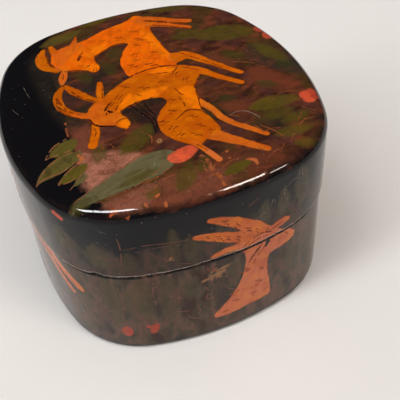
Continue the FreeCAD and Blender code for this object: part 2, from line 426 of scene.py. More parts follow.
# The strongest marks: the near eye and muzzle, the jaw's line and dark strokes behind the near head
TOP_INK = lines(
    (0.36, (-13.5, -5.4), (-13, -6.3), (-12.4, -6.6)),
    (0.2, (-8, -5.6), (-6.4, -9.4), (-5, -14.2), (-5.4, -18.6)),
    (0.14, (-6.4, -5), (-5.4, -9.2), (-4.2, -13.6), (-4.6, -17.4)),
    (0.16, (-4.4, -6), (-4.2, -9.2), (-3.4, -12.6)),
    (0.16, (-6.1, -21.6), (-5.6, -22.1)),
    (0.14, (-14.1, -6.4), (-14, -4.6), (-12.2, -2.6)),
    (0.26, (-18.5, -7), (-18, -9.2), (-16.8, -10.6), (-15, -11.4), (-13.6, -12)),
    (0.14, (-10.6, -13.4), (-10.3, -14.2)),
    (0.14, (-24.4, 4), (-24.2, 1.2), (-23, -1.2)),
)
WALL_INK = lines(
    (0.62, (12.7, 28.1), (12.2, 27), (11.7, 25.9)),
    (0.14, (11.2, 28.2), (9, 25.6), (7, 22.9)),
)
FAR_ANTELOPE = [
    Patch([
        (-20.4, 28.2), (-16.5, 29.6), (-12, 30.2), (-8, 31.6), (-4, 33.6), (0, 34.6), (3.5, 35.6),
        (6.8, 37.6), (9.6, 35), (9.9, 30.8), (8.7, 27.5), (8.6, 22), (8.9, 16), (9.3, 12.5), (9.6, 9),
        (8.6, 5.5), (5, 5), (0, 5), (-3.9, 6.2), (-4.8, 9.5), (-4.6, 13.5), (-3.2, 17.5), (-1, 20.8),
        (0.4, 22.7), (-2.2, 24), (-6, 22.9), (-9.6, 20.7), (-10.4, 18), (-9.9, 15), (-11, 12.9),
        (-12.6, 12.9), (-14.2, 15), (-17, 16.3), (-20, 17.6), (-21.8, 20.5), (-21.6, 24.5),
    ], tone=0.8, marks=1.1),
    Stroke([(6.5, 34.5, 2.6), (12, 32.3, 1.7), (17, 29, 1.2), (20.4, 27, 1.0)], 0.65),
    Stroke([(7, 32, 2.2), (12.5, 28.6, 1.3), (16.5, 25.6, 1.0), (19.2, 23.3, 0.9)], 0.65),
    Stroke([(-15.4, 26.6, 1.5), (-13.6, 30.6, 1.0), (-12.2, 34, 0.35)], 0.65),
    Stroke([
        (9.5, 9.6, 2.7), (13.1, 9.4, 1.9), (16.6, 4.6, 1.25), (20, -0.8, 1.05), (22.6, -4.6, 0.9),
    ], 0.3),
    Stroke([(-21.2, 18.4, 1.2), (-23.8, 22, 1.65), (-24.1, 26.5, 1.5), (-22.6, 30.6, 0.8)], 0.2),
    Stroke([(-18.6, 23, 1.4), (-19.7, 27, 1.45), (-20.3, 31.4, 0.8)], 0.3),
    Stroke([(-19.2, 17.2, 0.9), (-20.5, 14, 1.15), (-21.2, 11.4, 0.7)], 0.35),
]
FAR_ANTELOPE_GLOW = [
    Patch([(-14.4, 16), (-11.6, 17.2), (-10.2, 16.6), (-10.3, 13.8), (-12, 12.6)]),
    Patch([(5.4, 26.5), (8.2, 26), (8.4, 18), (8.8, 12), (6.4, 12.6), (5.6, 19)]),
    Patch([(-12, 21), (-9.4, 25), (-5, 26), (-9, 21.4)]),
]
FAR_ANTELOPE_ROSE = [
    Patch([(-21, 24), (-18, 29), (-13, 30.4), (-11.5, 27), (-16, 24), (-19.5, 20)]),
    Stroke([(8, 34, 2.6), (20.4, 27, 1.4)]),
    Stroke([(8.5, 31.5, 2.0), (19.2, 23.3, 1.2)]),
    Stroke([(-19.2, 17.2, 1.2), (-20.6, 14, 1.3)]),
]
FAR_ANTELOPE_LINES = [
    line((-14.8, 20.4), (-14.2, 21.6), (-13.2, 22.6), width=0.44),
    dot(-14.5, 21.2, 0.75),
    line((-14.8, 20.6), (-14, 22.6), (-12.4, 24.4), width=0.2),
    line((-14.2, 15.6), (-12.9, 16.6), (-11.4, 16.8), (-10.2, 16.4), width=0.16),
    line((-12.4, 13.3), (-11.8, 14.4), width=0.14),
    line((-11.5, 13), (-11.2, 14), width=0.14),
    line((-20.4, 17.4), (-17.4, 15.9), (-14.4, 14.6), width=0.24),
    line((-10.2, 20.4), (-6.6, 22.4), (-3, 23.9), (0.1, 22.6), width=0.3),
    line((8.4, 33.4), (13, 30.2), (19.4, 25.6), width=0.5),
    line((10, 29.6), (14.4, 26.4), (18.9, 22.6), width=0.25),
    line((-3.8, 6.6), (0.6, 7.4), (5, 7), (9.3, 5.9), width=0.24),
    line((-21.4, 20), (-22.4, 23), (-22.2, 27), width=0.4),
    line((-20, 15.6), (-20.6, 13.4), width=0.2),
    line((9.4, 12.6), (11.5, 11.6), (13, 9.4), (16, 5), (19.4, -0.6), width=0.16),
    *ticks(
        (3.7, 23.6, -20, 1.1), (2.2, 21, 0), (-1.4, 27.3, 10), (0.6, 16.4, 40), (-2, 11, 20, 1.3),
        (2.9, 9.2, 40, 1.5), (5.4, 15, 15), (-0.2, 13.2, -15, 0.9), (3.8, 28.6, 30), (-6, 27.8, 10, 0.9),
        (6, 20.4, 0, 0.8), (4.6, 11.6, 0, 0.8),
    ),
]
# Leaves: root, tip, half width, tone, bend
TOP_LEAF_ROWS = [
    ((-23.8, -13), (-30.4, -16.2), 2.2, 0.55, 0.06),
    ((-23.6, -17.8), (-34.8, -23.7), 2.4, 0.6, -0.02),
    ((-23.4, -22.4), (-30.4, -26.1), 1.7, 0.5, 0.04),
    ((-24, -25.6), (-27.4, -28.2), 0.9, 0.75, 0),
    ((3.6, -38.4), (10.6, -36.6), 1.4, 0.35, 0),
]
BIG_LEAF = Stroke([
    (-4.4, -27.8, 0.9), (-6.4, -28, 2.7), (-9.6, -28.8, 3.8), (-13.6, -29.8, 3.5), (-17.4, -30.9, 3.0),
    (-21, -31.9, 2.5), (-24.6, -33, 1.8), (-28, -34, 0.9), (-30.4, -34.8, 0.12),
], 1.0)
TOP_SOFT_LEAF_ROWS = [
    ((-9.4, -30.6), (-19.4, -32.8), 1.2, 0.3, 0),
    ((-12.6, -29.4), (-17.4, -30.6), 0.6, 0.3, 0),
    ((-25, -33.4), (-31, -35), 1.4, 0.15, 0),
    ((-19, -17.8), (-20.6, -23.4), 1.8, 0.2, 0),
    ((-6.2, -15.4), (-15.4, -23), 2.7, 0.3, 0.03),
    ((-2.4, -32.4), (-7.6, -39.4), 2.2, 0.3, 0.05),
    ((2.2, -31.4), (-1.4, -35.6), 1.3, 0.25, 0),
    ((-11, -36.6), (-14.4, -38.4), 1.2, 0.3, 0),
    ((19.6, -31.4), (28.4, -31.8), 1.9, 0.4, 0),
    ((21.6, -36), (26.6, -36.6), 1.3, 0.35, 0),
    ((18.4, -20), (31.4, -20.8), 2.6, 0.4, 0.03),
    ((19, -24.8), (28, -24), 1.7, 0.25, 0),
    ((22.6, -28), (30.6, -26.4), 1.8, 0.3, 0),
    ((24.2, -10.8), (28.8, -14), 1.5, 0.12, 0),
    ((22.4, 4.8), (27.6, 2.4), 1.7, 0.16, 0),
    ((32.6, -5.4), (37, -7.8), 1.5, 0.05, 0),
    ((13.2, -12.8), (17, -14.2), 1.4, 0.05, 0),
    ((19, 17.6), (36.6, 12), 4.2, 0.34, 0.04),
    ((13, 20), (24, 19), 2.4, 0.28, 0),
    ((-15.2, 13.4), (-14.7, 8.4), 1.9, 0.1, 0),
    ((-7.7, 14.8), (-8.3, 9.2), 1.7, 0.1, 0),
    ((-3.3, 21.8), (-5.7, 17.2), 1.8, 0.1, 0),
    ((32, 6), (36, -6), 2.4, 0.35, 0),
    ((-22.4, 33), (-9.4, 37.2), 2.4, 0.5, 0),
    ((-9.6, 38.6), (3, 41.4), 1.7, 0.4, 0),
    ((10, 40), (24, 34.5), 1.9, 0.3, 0),
]
# Glazes on the ground, and painted shade along the front right rim: nearly black at tone 0, green grey at a
# half and rust at 1
TOP_SHADE = [
    Patch([
        (-10.8, -6.6), (-6.4, -4), (0.6, -5.6), (1.4, -8.8), (-0.6, -11.4), (-2.6, -14.6), (-3.6, -20.6),
        (-6.2, -20), (-7.2, -15), (-8.8, -11),
    ], 0.05),
    # Painted shade along the front right rim, darker down the rim's curve
    Stroke([(14, -41.6, 0.7), (24, -38.8, 1.1), (31, -34, 1.3), (35.6, -27, 1.3), (38.2, -18, 1.0)], 0),
    Patch([(-24.6, -7), (-20, -8), (-16, 2), (-19, 14), (-23, 30), (-28, 24), (-27, 6)], 0.2),
    Patch([(-16, 3), (-10, 6), (-8, 12), (-13, 14), (-18, 9)], 0.2),
    Stroke([(8.6, -11, 0.4), (10.6, -17, 0.7), (12.4, -22.6, 0.7), (17, -29.4, 0.4)], 0),
    Stroke([(9.5, -29.4, 0.3), (6.5, -26.8, 0.8), (3.8, -28, 0.6)], 0),
    Patch([(-2.6, -25.6), (2, -27.2), (6, -31), (2, -31), (-1, -29.6)], 0.1),
    Stroke([(10.6, 4.6, 0.6), (14.4, 1.4, 0.8), (19, -5, 0.6)], 0.1),
    Patch([(18, -29), (22, -30), (24, -26), (20, -24.5), (16, -26)], 0.2),
    Patch([(29, -37), (33, -31), (35.5, -27), (31, -29)], 0.25),
    Patch([(27, 4), (33, 6), (38, 0), (40, -10), (36, -12), (31, -7), (28, -2)], 0.5),
    Patch([
        (24.5, -4.5), (28, -4.6), (31.5, -9.5), (33.5, -15.5), (30, -17.5), (26.5, -13.5), (23.5, -10),
    ], 1.0),
    Patch([(12.5, -15), (17, -15.6), (19, -18.8), (16, -20.8), (12.8, -18.6)], 0.95),
    Patch([(14.5, 8), (20, 7), (23, 0), (20, -3), (16.5, 2)], 0.9),
    Patch([(5, -31.6), (12, -35), (18, -33.4), (17, -37.6), (9, -40), (4, -36)], 0.85),
]
TOP_BUDS = [
    Stroke([(-5.5, -28.7, 0.6), (-4.6, -28.9, 1.6), (-3.5, -28.9, 2.1), (-2.4, -28.6, 2.1)], 0.48),
    Stroke([(-2.6, -28.6, 2.1), (-1.5, -28.2, 2.0), (-0.4, -27.8, 1.6), (0.7, -27.4, 0.8)], 0.36),
    bud((32.7, -20.5), 1.9, 1.5, 30, 0.32),
    bud((34.5, -20.1), 1.6, 1.35, 60, 0.16),
    bud((32.6, -22.7), 1.7, 1.35, -30, 0.36),
    bud((34.4, -22), 1.4, 1.2, 0, 0.1),
    bud((36.3, 13.2), 1.8, 1.2, 100, 0.08),
    bud((37.1, 9.2), 2.2, 1.4, 80, 0.26),
    bud((-12, -38.5), 0.85, 0.36, 30, 0.85),
    bud((-11, -41), 0.7, 0.32, 80, 0.85),
    bud((-15, -40), 0.65, 0.32, 110, 0.85),
    bud((-21.5, -38.5), 0.8, 0.3, 130, 0.85),
    bud((-22.4, -39), 0.5, 0.3, 20, 0.7),
    bud((6.7, -31.9), 0.55, 0.34, 30, 0.85),
    bud((6.4, -34.2), 0.5, 0.34, 0, 0.85),
    bud((-5.7, -21.9), 0.95, 0.75, 60, 1.0),
    Stroke([(9.6, -36.1, 0.2), (10.7, -36.5, 0.45), (11.2, -37.4, 0.5), (11, -38.4, 0.3)], 0.85),
    Stroke([(-24.2, -18.6, 0.3), (-23.6, -20, 0.55), (-24.2, -21, 0.35), (-25, -21.6, 0.2)], 0.9),
]
TOP_TWIGS = lines(
    (0.52, (1, -30.5), (1.8, -33), (1.5, -35.4), (2.2, -38.4), (2, -41.4)),
    (0.26, (1.5, -34), (0.2, -32.2)),
    (0.14, (1.3, -36.4), (2.9, -34.6)),
    (0.24, (2.2, -39), (0.8, -37.2)),
    (0.16, (0.6, -33.4), (0.2, -35.2), (0.8, -36.4)),
    (0.14, (-8.4, -17), (-7, -19.6), (-7.6, -22)),
    (0.12, (-16.4, -18), (-15.8, -21), (-16.4, -23.6)),
    (0.1, (-17.6, -16.4), (-18.6, -19.4)),
    (0.3, (-24.2, -5.4), (-24.6, -8.4), (-24.8, -11)),
    (0.1, (-9.2, -24.6), (-12.6, -25.2), (-16.4, -27.4)),
    (0.12, (-6.8, -31.4), (-10, -33.1), (-14.6, -34)),
    (0.08, (-24.5, -35.2), (-15.8, -34), (-9.4, -31.4), (-6.4, -28.8)),
    (0.1, (14, -24), (16.5, -26.5), (17.2, -30)),
    (0.1, (17.2, -37.2), (19.4, -34.8)),
    (0.09, (21, -35), (22.8, -33), (24.6, -32.6)),
    (0.09, (24.6, -19), (27.6, -17.4), (31.4, -17.8)),
    (0.11, (17.4, -26.6), (19.4, -29.6), (20.4, -32.4)),
    (0.08, (16.8, -29.4), (19, -28.8), (21.4, -29.6)),
    (0.11, (13.6, -33.4), (14.6, -35.4)),
    (0.09, (15.4, -33.8), (13.8, -34.8)),
    (0.11, (25.6, -30.4), (28, -29), (30.4, -29.4)),
    (0.12, (29.6, -24.8), (31.8, -27.2)),
    (0.1, (26, -29), (28.4, -26.4)),
    (0.09, (22.2, 1), (26.4, -1.4), (29.4, -5.6)),
    (0.09, (12.4, -20), (14.6, -21.6)),
    (0.09, (3.4, -36.4), (6.4, -35), (9.4, -35.2)),
    (0.12, (-4.4, -40), (-1.6, -38.2), (1.6, -37.4)),
    (0.09, (-12, -36.4), (-9.6, -34.4), (-6.4, -34)),
    (0.1, (-19.4, -36.6), (-16.4, -37.4)),
    (0.09, (13, -38.6), (16, -36.4), (18.6, -36)),
)
# Thin gilt lines round the leaves on the black ground and along the big leaf
TOP_GILT = lines(
    (0.16, (-25.3, -11.5), (-28.5, -13), (-30.3, -15), (-31.5, -17)),
    (0.15, (-31.5, -17), (-29.5, -16.5), (-27, -16.5), (-25.3, -16)),
    (0.15, (-25, -17), (-28, -17.5), (-31.5, -19.5), (-33.5, -22), (-35, -24)),
    (0.16, (-35, -24), (-32, -23), (-28.5, -22.5), (-25.5, -20.5)),
    (0.17, (-25, -21.5), (-27.5, -23), (-29.5, -25), (-30.5, -26.5)),
    (0.12, (-30.5, -26.5), (-28, -26.5), (-26.5, -25.5)),
    (0.13, (-28.5, -29), (-26.5, -27), (-25, -25)),
    (0.07, (-30.5, -34), (-25.5, -31.5), (-20, -29), (-12.5, -25)),
)
TOP_PALE = lines(
    (0.1, (-9.6, -29.4), (-8.6, -27.4)),
    (0.05, (-35.4, 6), (-33.4, 1.2)),
    (0.05, (-31, 14.6), (-30.4, 9)),
    (0.08, (12.6, -20.2), (14.8, -19.6), (17, -20.6), (18.4, -23.2), (18.6, -25)),
)
TOP_BROWN = [
    Patch([
        (-22.6, 30), (-19, 38), (-8, 46), (20, 50), (50, 40), (55, 0), (50, -45), (10, -52), (-14, -47),
        (-20.5, -40), (-23.5, -36), (-24.5, -20), (-24.2, -8), (-23.2, 0), (-22.8, 16),
    ]),
]
TOP_PINK = [
    Patch([
        (-24.3, -17.5), (-19.4, -19.4), (-13.4, -22.6), (-10.2, -25), (-13, -26.6), (-17, -27.6),
        (-24.8, -31), (-24.8, -24),
    ], 0.05, 0.5),
    Patch([(-23.6, -7), (-20, -8), (-18.4, -12), (-17.6, -18), (-20, -20), (-24, -18.4), (-24, -12)], 1.0),
    Patch([
        (-23, -36.6), (-17, -34.8), (-12, -34.6), (-10.6, -36), (-12, -38.8), (-16, -40.4), (-21, -39.6),
    ], 0.7, 0.3),
    Patch([
        (-10, -34), (-4, -33.4), (2, -35), (6, -38), (2, -42), (-6, -42.4), (-12, -41), (-10.4, -37),
    ], 1.0),
]

# The walls, unrolled: length along the outline from the middle of the near side, and height
FRONT_ANTELOPE = [
    Patch([
        (3, 30.3), (8, 31.6), (12.5, 32.2), (15.4, 30.2), (18.6, 28), (20.7, 26), (20, 23.8),
        (16.4, 22.9), (13, 22.4), (12.6, 16), (13.6, 8.6), (12.2, 6.7), (6, 6.4), (-1.2, 6), (-2.6, 7.4),
        (-1.2, 9.4), (1.8, 12.6), (4.6, 17), (6, 22), (6, 26.6),
    ], tone=0.55, marks=1.4),
    Stroke([
        (12.4, 31, 1.5), (8.6, 34.9, 1.85), (4, 38.8, 1.55), (0.2, 41.1, 1.25), (-2.4, 42.2, 0.8),
    ], 0.4),
    Stroke([(9, 31, 1.2), (4.8, 33.5, 1.75), (0.2, 35.9, 1.5), (-3.8, 37.5, 1.1), (-6, 38.2, 0.65)], 0.4),
    Stroke([(8, 30.4, 1.0), (3.5, 30.8, 1.15), (-0.4, 30.5, 1.05), (-2.2, 30, 0.7)], 0.55),
    Stroke([(10.8, 30.6, 0.7), (13.4, 31.8, 1.2), (16.2, 32.4, 1.3), (17.6, 32.3, 0.8)], 0.6),
]
FRONT_ANTELOPE_LINES = [
    line((11.2, 28.2), (8.8, 25.6), (6.9, 22.9), width=0.18),
    line((11.6, 26.4), (9.6, 24), (8.2, 21.6), width=0.16),
    line((10.4, 26.8), (8.6, 24.4), width=0.14),
    line((5.6, 29.9), (7.2, 31.2), (10.2, 31.9), (12.6, 31), (14.2, 29.6), width=0.18),
    line((6.6, 29.6), (9.4, 30.6), (12, 30.2), width=0.14),
    line((11.4, 31.9), (13.6, 33), (16.4, 33.6), width=0.16),
    line((11.6, 31), (14, 31.8), (17, 32.2), width=0.14),
    line((17.2, 27.8), (18.7, 25.8), width=0.16),
    line((4.4, 20.6), (6, 20), (7.6, 20.6), width=0.14),
    *ticks(
        (1.2, 40, -100), (3.8, 37.6, -100, 1.1), (6.8, 35, -100), (9, 33.4, -90, 0.8),
        (-3.2, 37.2, -90, 0.7), (-0.6, 36, -100, 0.9), (1.6, 34.8, -100, 0.9), (4.2, 33.4, -90),
        (6.4, 20.8, 0, 0.9), (10, 14.1, 10, 1.1), (3, 13.8, 60), (3.4, 10.4, 50), (8.4, 10.4, 10, 0.8),
        (0.4, 7.6, 20, 0.8), (10.6, 18.6, 0, 0.8),
    ),
]
# An antelope in full leap with its head turned back, about its own middle
LEAPING_ANTELOPE = [
    Patch([
        (12.4, 5), (10.6, 8.4), (4, 7.2), (-2, 6.4), (-8, 7), (-13, 6), (-16, 2.5), (-15.5, -1.5),
        (-12, -3.4), (-8.5, -2), (-4, -0.4), (2, -1), (7, -2.4), (11.5, -1.6), (13.4, 1.8),
    ], tone=0.45, marks=0.2),
    Stroke([(9.6, 4.5, 3.6), (11.2, 9, 2.6), (10.6, 12.8, 2.1), (7.8, 15, 1.9)], 0.5),
    Stroke([(8.4, 14.8, 2.1), (4.8, 14.4, 1.8), (1.4, 12.8, 1.1), (-0.2, 12, 0.75)], 0.55),
    Stroke([(8.6, 16, 0.8), (12, 17.8, 0.95), (16, 17.6, 0.8), (19, 15.6, 0.4)], 0.3),
    Stroke([(7.4, 16.4, 0.7), (9.8, 18.4, 0.8), (13.6, 19.4, 0.7), (17, 18.8, 0.35)], 0.3),
    Stroke([(9.4, 14.2, 0.5), (12.4, 13.4, 0.85), (14.6, 12, 0.5)], 0.6),
    Stroke([
        (9.5, 2.5, 2.8), (18, 2, 2.3), (28, 0.4, 1.95), (35, -3.2, 1.75), (40.6, -6.8, 1.5),
        (42.4, -8, 1.15),
    ], 0.5),
    Stroke([(7.5, 0, 2.4), (16, -1.4, 2.0), (27, -3.6, 1.75), (33.6, -7.6, 1.6), (38.2, -11.4, 1.3)], 0.5),
    Stroke([
        (-12.6, 1.4, 3.3), (-17.4, -3.6, 1.7), (-19.4, -8, 1.1), (-25, -12, 0.9), (-27.6, -13.6, 0.75),
    ], 0.4),
    Stroke([
        (-11.4, -0.6, 2.4), (-13.2, -6, 1.4), (-14.2, -10, 1.05), (-19, -15, 0.85), (-21.4, -16.8, 0.7),
    ], 0.4),
    Stroke([(-15.6, 4, 0.8), (-18.6, 6, 0.7), (-20, 8.2, 0.4)], 0.35),
]
LEAPING_ANTELOPE_LINES = [
    dot(5.6, 14.9, 0.5),
    line((8.4, 12.8), (6.4, 13), (4.4, 12.6), width=0.16),
    line((2.6, 14.4), (2, 12.2), width=0.16),
    line((9.4, 12), (10.8, 7.8), (9.6, 3.6), width=0.16),
    line((11.4, 11.8), (12.6, 8), width=0.16),
    line((-11.6, 5.4), (-9.6, 2.2), (-10.6, -1.4), width=0.2),
    line((7.4, 3.6), (8.6, 0), (11.6, -3.6), width=0.18),
    line((13.4, 0.2), (22, -0.8), (31, -3.4), (35.6, -6.4), width=0.22),
    line((-14.6, -6.4), (-15, -9.6), width=0.14),
    line((-3.6, -0.4), (1.4, -0.9), (6, -2), width=0.16),
    *ticks(
        (2.6, 4, 20), (-1.6, 1.8, 60), (-4.6, 4.6, 0), (5.4, 1.4, 40), (-7.6, 1.4, 20), (-12.6, 1, 50),
        (-13.6, 4.2, 20, 0.8), (11.4, 5.4, 70), (10.6, 2, 0, 0.8), (11.8, 17.6, 60, 0.7),
        (15, 17.5, 80, 0.7), (-16.4, -3.2, 20, 0.8),
    ),
]
WALL_LEAF_ROWS = [
    ((-28, 27), (-27, 9.4), 3.0, 0.4, 0.05),
    ((-19.4, 27.4), (-18.6, 10.6), 2.9, 0.45, -0.04),
    ((-23.4, 24), (-22.6, 12), 1.6, 0.3, 0),
    ((-14, 19), (-13.5, 9), 2.0, 0.3, 0),
    ((-12, 26), (-15, 19), 1.8, 0.25, 0),
    ((-28.6, 39), (-28.2, 31), 2.6, 0.35, 0.05),
    ((-36.6, 42), (-37, 35.6), 2.4, 0.4, 0),
    ((-10.9, 42.4), (-10.6, 31), 1.6, 0.35, 0),
    ((-7.2, 39), (-7.4, 31), 1.7, 0.3, 0),
    ((-21.4, 37), (-21, 31), 1.8, 0.2, 0),
    ((-36, 24), (-34, 13), 2.4, 0.3, 0),
    ((11.6, 41.6), (12, 34.4), 1.6, 0.9, -0.1),
    ((16, 42.6), (16, 34.4), 1.6, 1.0, 0.05),
    ((21.4, 46), (21.8, 34), 2.7, 1.0, 0.05),
    ((20, 20), (18, 9), 2.6, 0.25, 0.05),
    ((27, 24), (24.5, 12), 2.6, 0.3, 0),
    ((32, 31.4), (31, 40), 2.2, 0.35, 0),
    ((-4, 14), (-8.5, 9), 1.9, 0.25, 0),
    ((-8.4, 24), (-8.2, 16), 2.0, 0.2, 0),
    ((3.4, 25), (3, 18), 1.3, 0.15, 0),
]
WALL_BUDS = [
    bud((-24.9, 7.5), 2.3, 1.5, 85, 0.15),
    bud((-17.9, 8.2), 2.3, 1.1, 75, 0.1),
    bud((-19.3, 9.2), 0.9, 0.6, 120, 0.1),
    bud((-36.2, 46.0), 1.8, 0.75, 152, 0.25),
    *dabs(-19.6, 47.9, 0.9, 5, 0.85),
    *dabs(11.6, 47.2, 0.5, 4, 0.85),
    *dabs(-1.2, 22.9, 2.8, 22),
    *dabs(-3.2, 25.8, 2.0, 9, 0.1),
    Stroke([(-5.2, 22, 0.2), (-4, 22.3, 0.5), (-2.8, 22.3, 0.25)], 1.0),
    Stroke([(-2.9, 22.6, 0.3), (-1.1, 23.3, 0.65), (0.9, 23.7, 0.3)], 1.0),
    Stroke([(-1.6, 24.4, 0.2), (0.4, 24.8, 0.42), (2.2, 25.1, 0.2)], 1.0),
    *dabs(-11.8, 33.2, 1.5, 15),
]
WALL_TWIGS = lines(
    (0.2, (-12.4, 21), (-11, 18.8), (-11.6, 16.4)),
    (0.18, (-10.8, 18.4), (-8.4, 17.2)),
    (0.2, (-4.6, 20), (-3.6, 17.6), (-4.4, 15.2), (-2, 14.8)),
    (0.2, (-13.4, 15), (-11.4, 13), (-8.6, 12.4)),
    (0.18, (-7, 14.6), (-6.2, 11.6), (-7, 9.4)),
    (0.2, (-9.6, 12), (-8.6, 9.4), (-6, 8)),
    (0.16, (0.6, 18), (1.6, 16.2), (3, 15.4)),
    (0.22, (-5.2, 12.6), (-3, 10.4), (-2.4, 8.2)),
    (0.16, (-17.6, 9.4), (-20, 12.4), (-21.6, 16)),
    (0.2, (-24.8, 10), (-25.4, 14), (-24.4, 19), (-25, 25)),
    (0.2, (-16.4, 27.4), (-17, 22), (-16.6, 17)),
    (0.18, (-14.6, 12.4), (-15.2, 9.6)),
    (0.2, (-12.8, 8.8), (-11.4, 6.6)),
    (0.14, (-22.8, 43), (-22.4, 39), (-22.8, 33.4)),
    (0.1, (-22, 38.4), (-17.4, 39.2), (-10.4, 38.5), (-6, 38.2)),
    (0.08, (-19.4, 37.4), (-14.6, 37.9), (-9, 37.2)),
    (0.2, (-27.8, 35.6), (-25.4, 35.2)),
    (0.14, (-9.6, 31), (-7.4, 30.2)),
    (0.14, (6.8, 42.4), (9.4, 43.8)),
    (0.16, (-32, 16.4), (-29.6, 14.8), (-27.4, 15.4)),
    (0.16, (-31, 22), (-28.8, 20.4)),
    (0.16, (28, 14), (29.6, 11), (29, 8)),
    (0.14, (17, 15), (18.6, 12.4)),
)
WALL_PALE = lines(
    (0.07, (16.6, 43.6), (16.4, 40.6), (17.6, 38.4)),
    (0.06, (17, 43), (19, 44), (20.6, 43.8)),
    (0.07, (20.8, 45.6), (20.4, 43)),
    (0.06, (21.6, 45.8), (21.9, 43.6)),
    (0.06, (12.4, 39), (13.4, 41.2), (14, 39.4)),
    (0.06, (8.4, 37.2), (11.2, 38.2)),
    (0.05, (-26.4, 44.4), (-24.8, 43.8)),
)
# A spray for the sides that the photograph doesn't show: leaves, buds and twigs about a stem's foot
SPRAY_LEAF_ROWS = [
    ((0, 1), (-2.4, 10), 1.8, 0.4, 0.06),
    ((1.2, 1), (3.8, 9.4), 1.7, 0.35, -0.06),
    ((-1, 0.6), (-8, 6), 1.6, 0.45, -0.08),
    ((2, 0.6), (9.4, 5), 1.6, 0.4, 0.08),
]
SPRAY_BUDS = [
    bud((-5.6, 9.6), 1.7, 1.3, 60),
    bud((7, 9), 1.6, 1.2, 110),
    bud((0.6, 12.4), 1.1, 0.6, 90, 0.9),
]
SPRAY_TWIGS = lines(
    (0.2, (0, 0), (0.4, 6), (0.6, 11.4)),
    (0.18, (0, 2), (-3.4, 6.4), (-5.4, 8.6)),
    (0.18, (0.8, 2), (4.6, 5.6), (6.8, 7.8)),
)
# Where sprays and leaping antelopes stand: place, size, turn, and for antelopes whether mirrored
SPRAY_PLACES = [
    ((-96, 4), 1.1, 4), ((-66, 2.5), 1.0, -6), ((47, 3), 1.0, -4), ((84, 3.5), 1.1, 8), ((104, 3), 1.2, -6),
    ((124, 3), 1.0, 6), ((170, 3), 1.15, -5), ((-82, 33), 0.95, 10), ((44, 31.5), 0.9, -8),
    ((96, 32), 1.0, 4), ((116, 32), 0.9, -6), ((168, 32), 1.0, 6),
]
LEAP_PLACES = [((-71, 27), 0.84, 0, False), ((82, 28), 0.8, 0, True), ((130, 28), 0.84, 3, False)]


def leaves(rows):
    return [leaf(*row) for row in rows]


def leaf_edges(rows):
    return [edge for root, tip, half, _, bend in rows for edge in leaf_lines(root, tip, half, bend)]


def sprays(shapes):
    return [copy for spot in SPRAY_PLACES for copy in placed(shapes, *spot)]


def leaps(shapes):
    return [copy for spot in LEAP_PLACES for copy in placed(shapes, *spot)]


def wrapped(shapes):
    """Shapes on the walls, and their copies a turn further on and back."""
    return [copy for turn in (-1, 0, 1) for copy in placed(shapes, (turn * PERIMETER, 0))]


def paint(points, shapes):
    """Signed distance to the nearest shape, its tone, and length and distance along its brush marks."""
    distance = np.full(len(points), FAR_FROM_PAINT)
    tone = np.full(len(points), 0.5)
    along, across = points[:, 0].copy(), points[:, 1].copy()
    for shape in shapes:
        low, high = shape.box()
        near = np.all((points > low - FAR_FROM_PAINT) & (points < high + FAR_FROM_PAINT), axis=1)
        index = np.flatnonzero(near)
        if not len(index):
            continue
        found, a, b = shape.measure(points[index])
        closer = found < distance[index]
        hit = index[closer]
        distance[hit], tone[hit] = found[closer], shape.tone
        along[hit], across[hit] = a[closer], b[closer]
    return distance, tone, along, across


class Skin:
    """Rows of points and the faces between them, each point with its place on the flat charts."""

    def __init__(self):
        self.points, self.top_chart, self.wall_chart = [], [], []
        self.faces, self.sawn = [], []
        self.count = 0

    def add(self, points, top_chart, wall_chart):
        first = self.count
        self.points.append(points)
        self.top_chart.append(top_chart)
        self.wall_chart.append(wall_chart)
        self.count += len(points)
        return np.arange(first, self.count)

    def join(self, row, following, sawn=False):
        """Quads between two closed rows of the same count."""
        if sawn:
            self.sawn += range(len(self.faces), len(self.faces) + RING_COUNT)
        self.faces += np.stack(
            [row, np.roll(row, -1), np.roll(following, -1), following], axis=1
        ).tolist()

    def cap(self, row):
        self.faces.append(row.tolist())

    def arrays(self):
        return (np.concatenate(part) for part in (self.points, self.top_chart, self.wall_chart))


RING = np.arange(RING_COUNT) * PERIMETER / RING_COUNT


def ring(skin, outward, height, chart_height=None, wobble=0.0):
    """A closed row of points at a distance off the outline and a height."""
    flat, facing = OUTLINE.at(RING, outward)
    chart_height = height if chart_height is None else chart_height
    reach = RIM_START + RIM_LENGTH - chart_height - RIM_ROUND
    start, _ = OUTLINE.at(RING)
    top_chart = start + facing * reach
    wall = np.stack([RING, np.full(RING_COUNT, chart_height)], axis=1)
    points = np.column_stack([flat, np.full(RING_COUNT, height) + wobble])
    return skin.add(points, top_chart, wall)


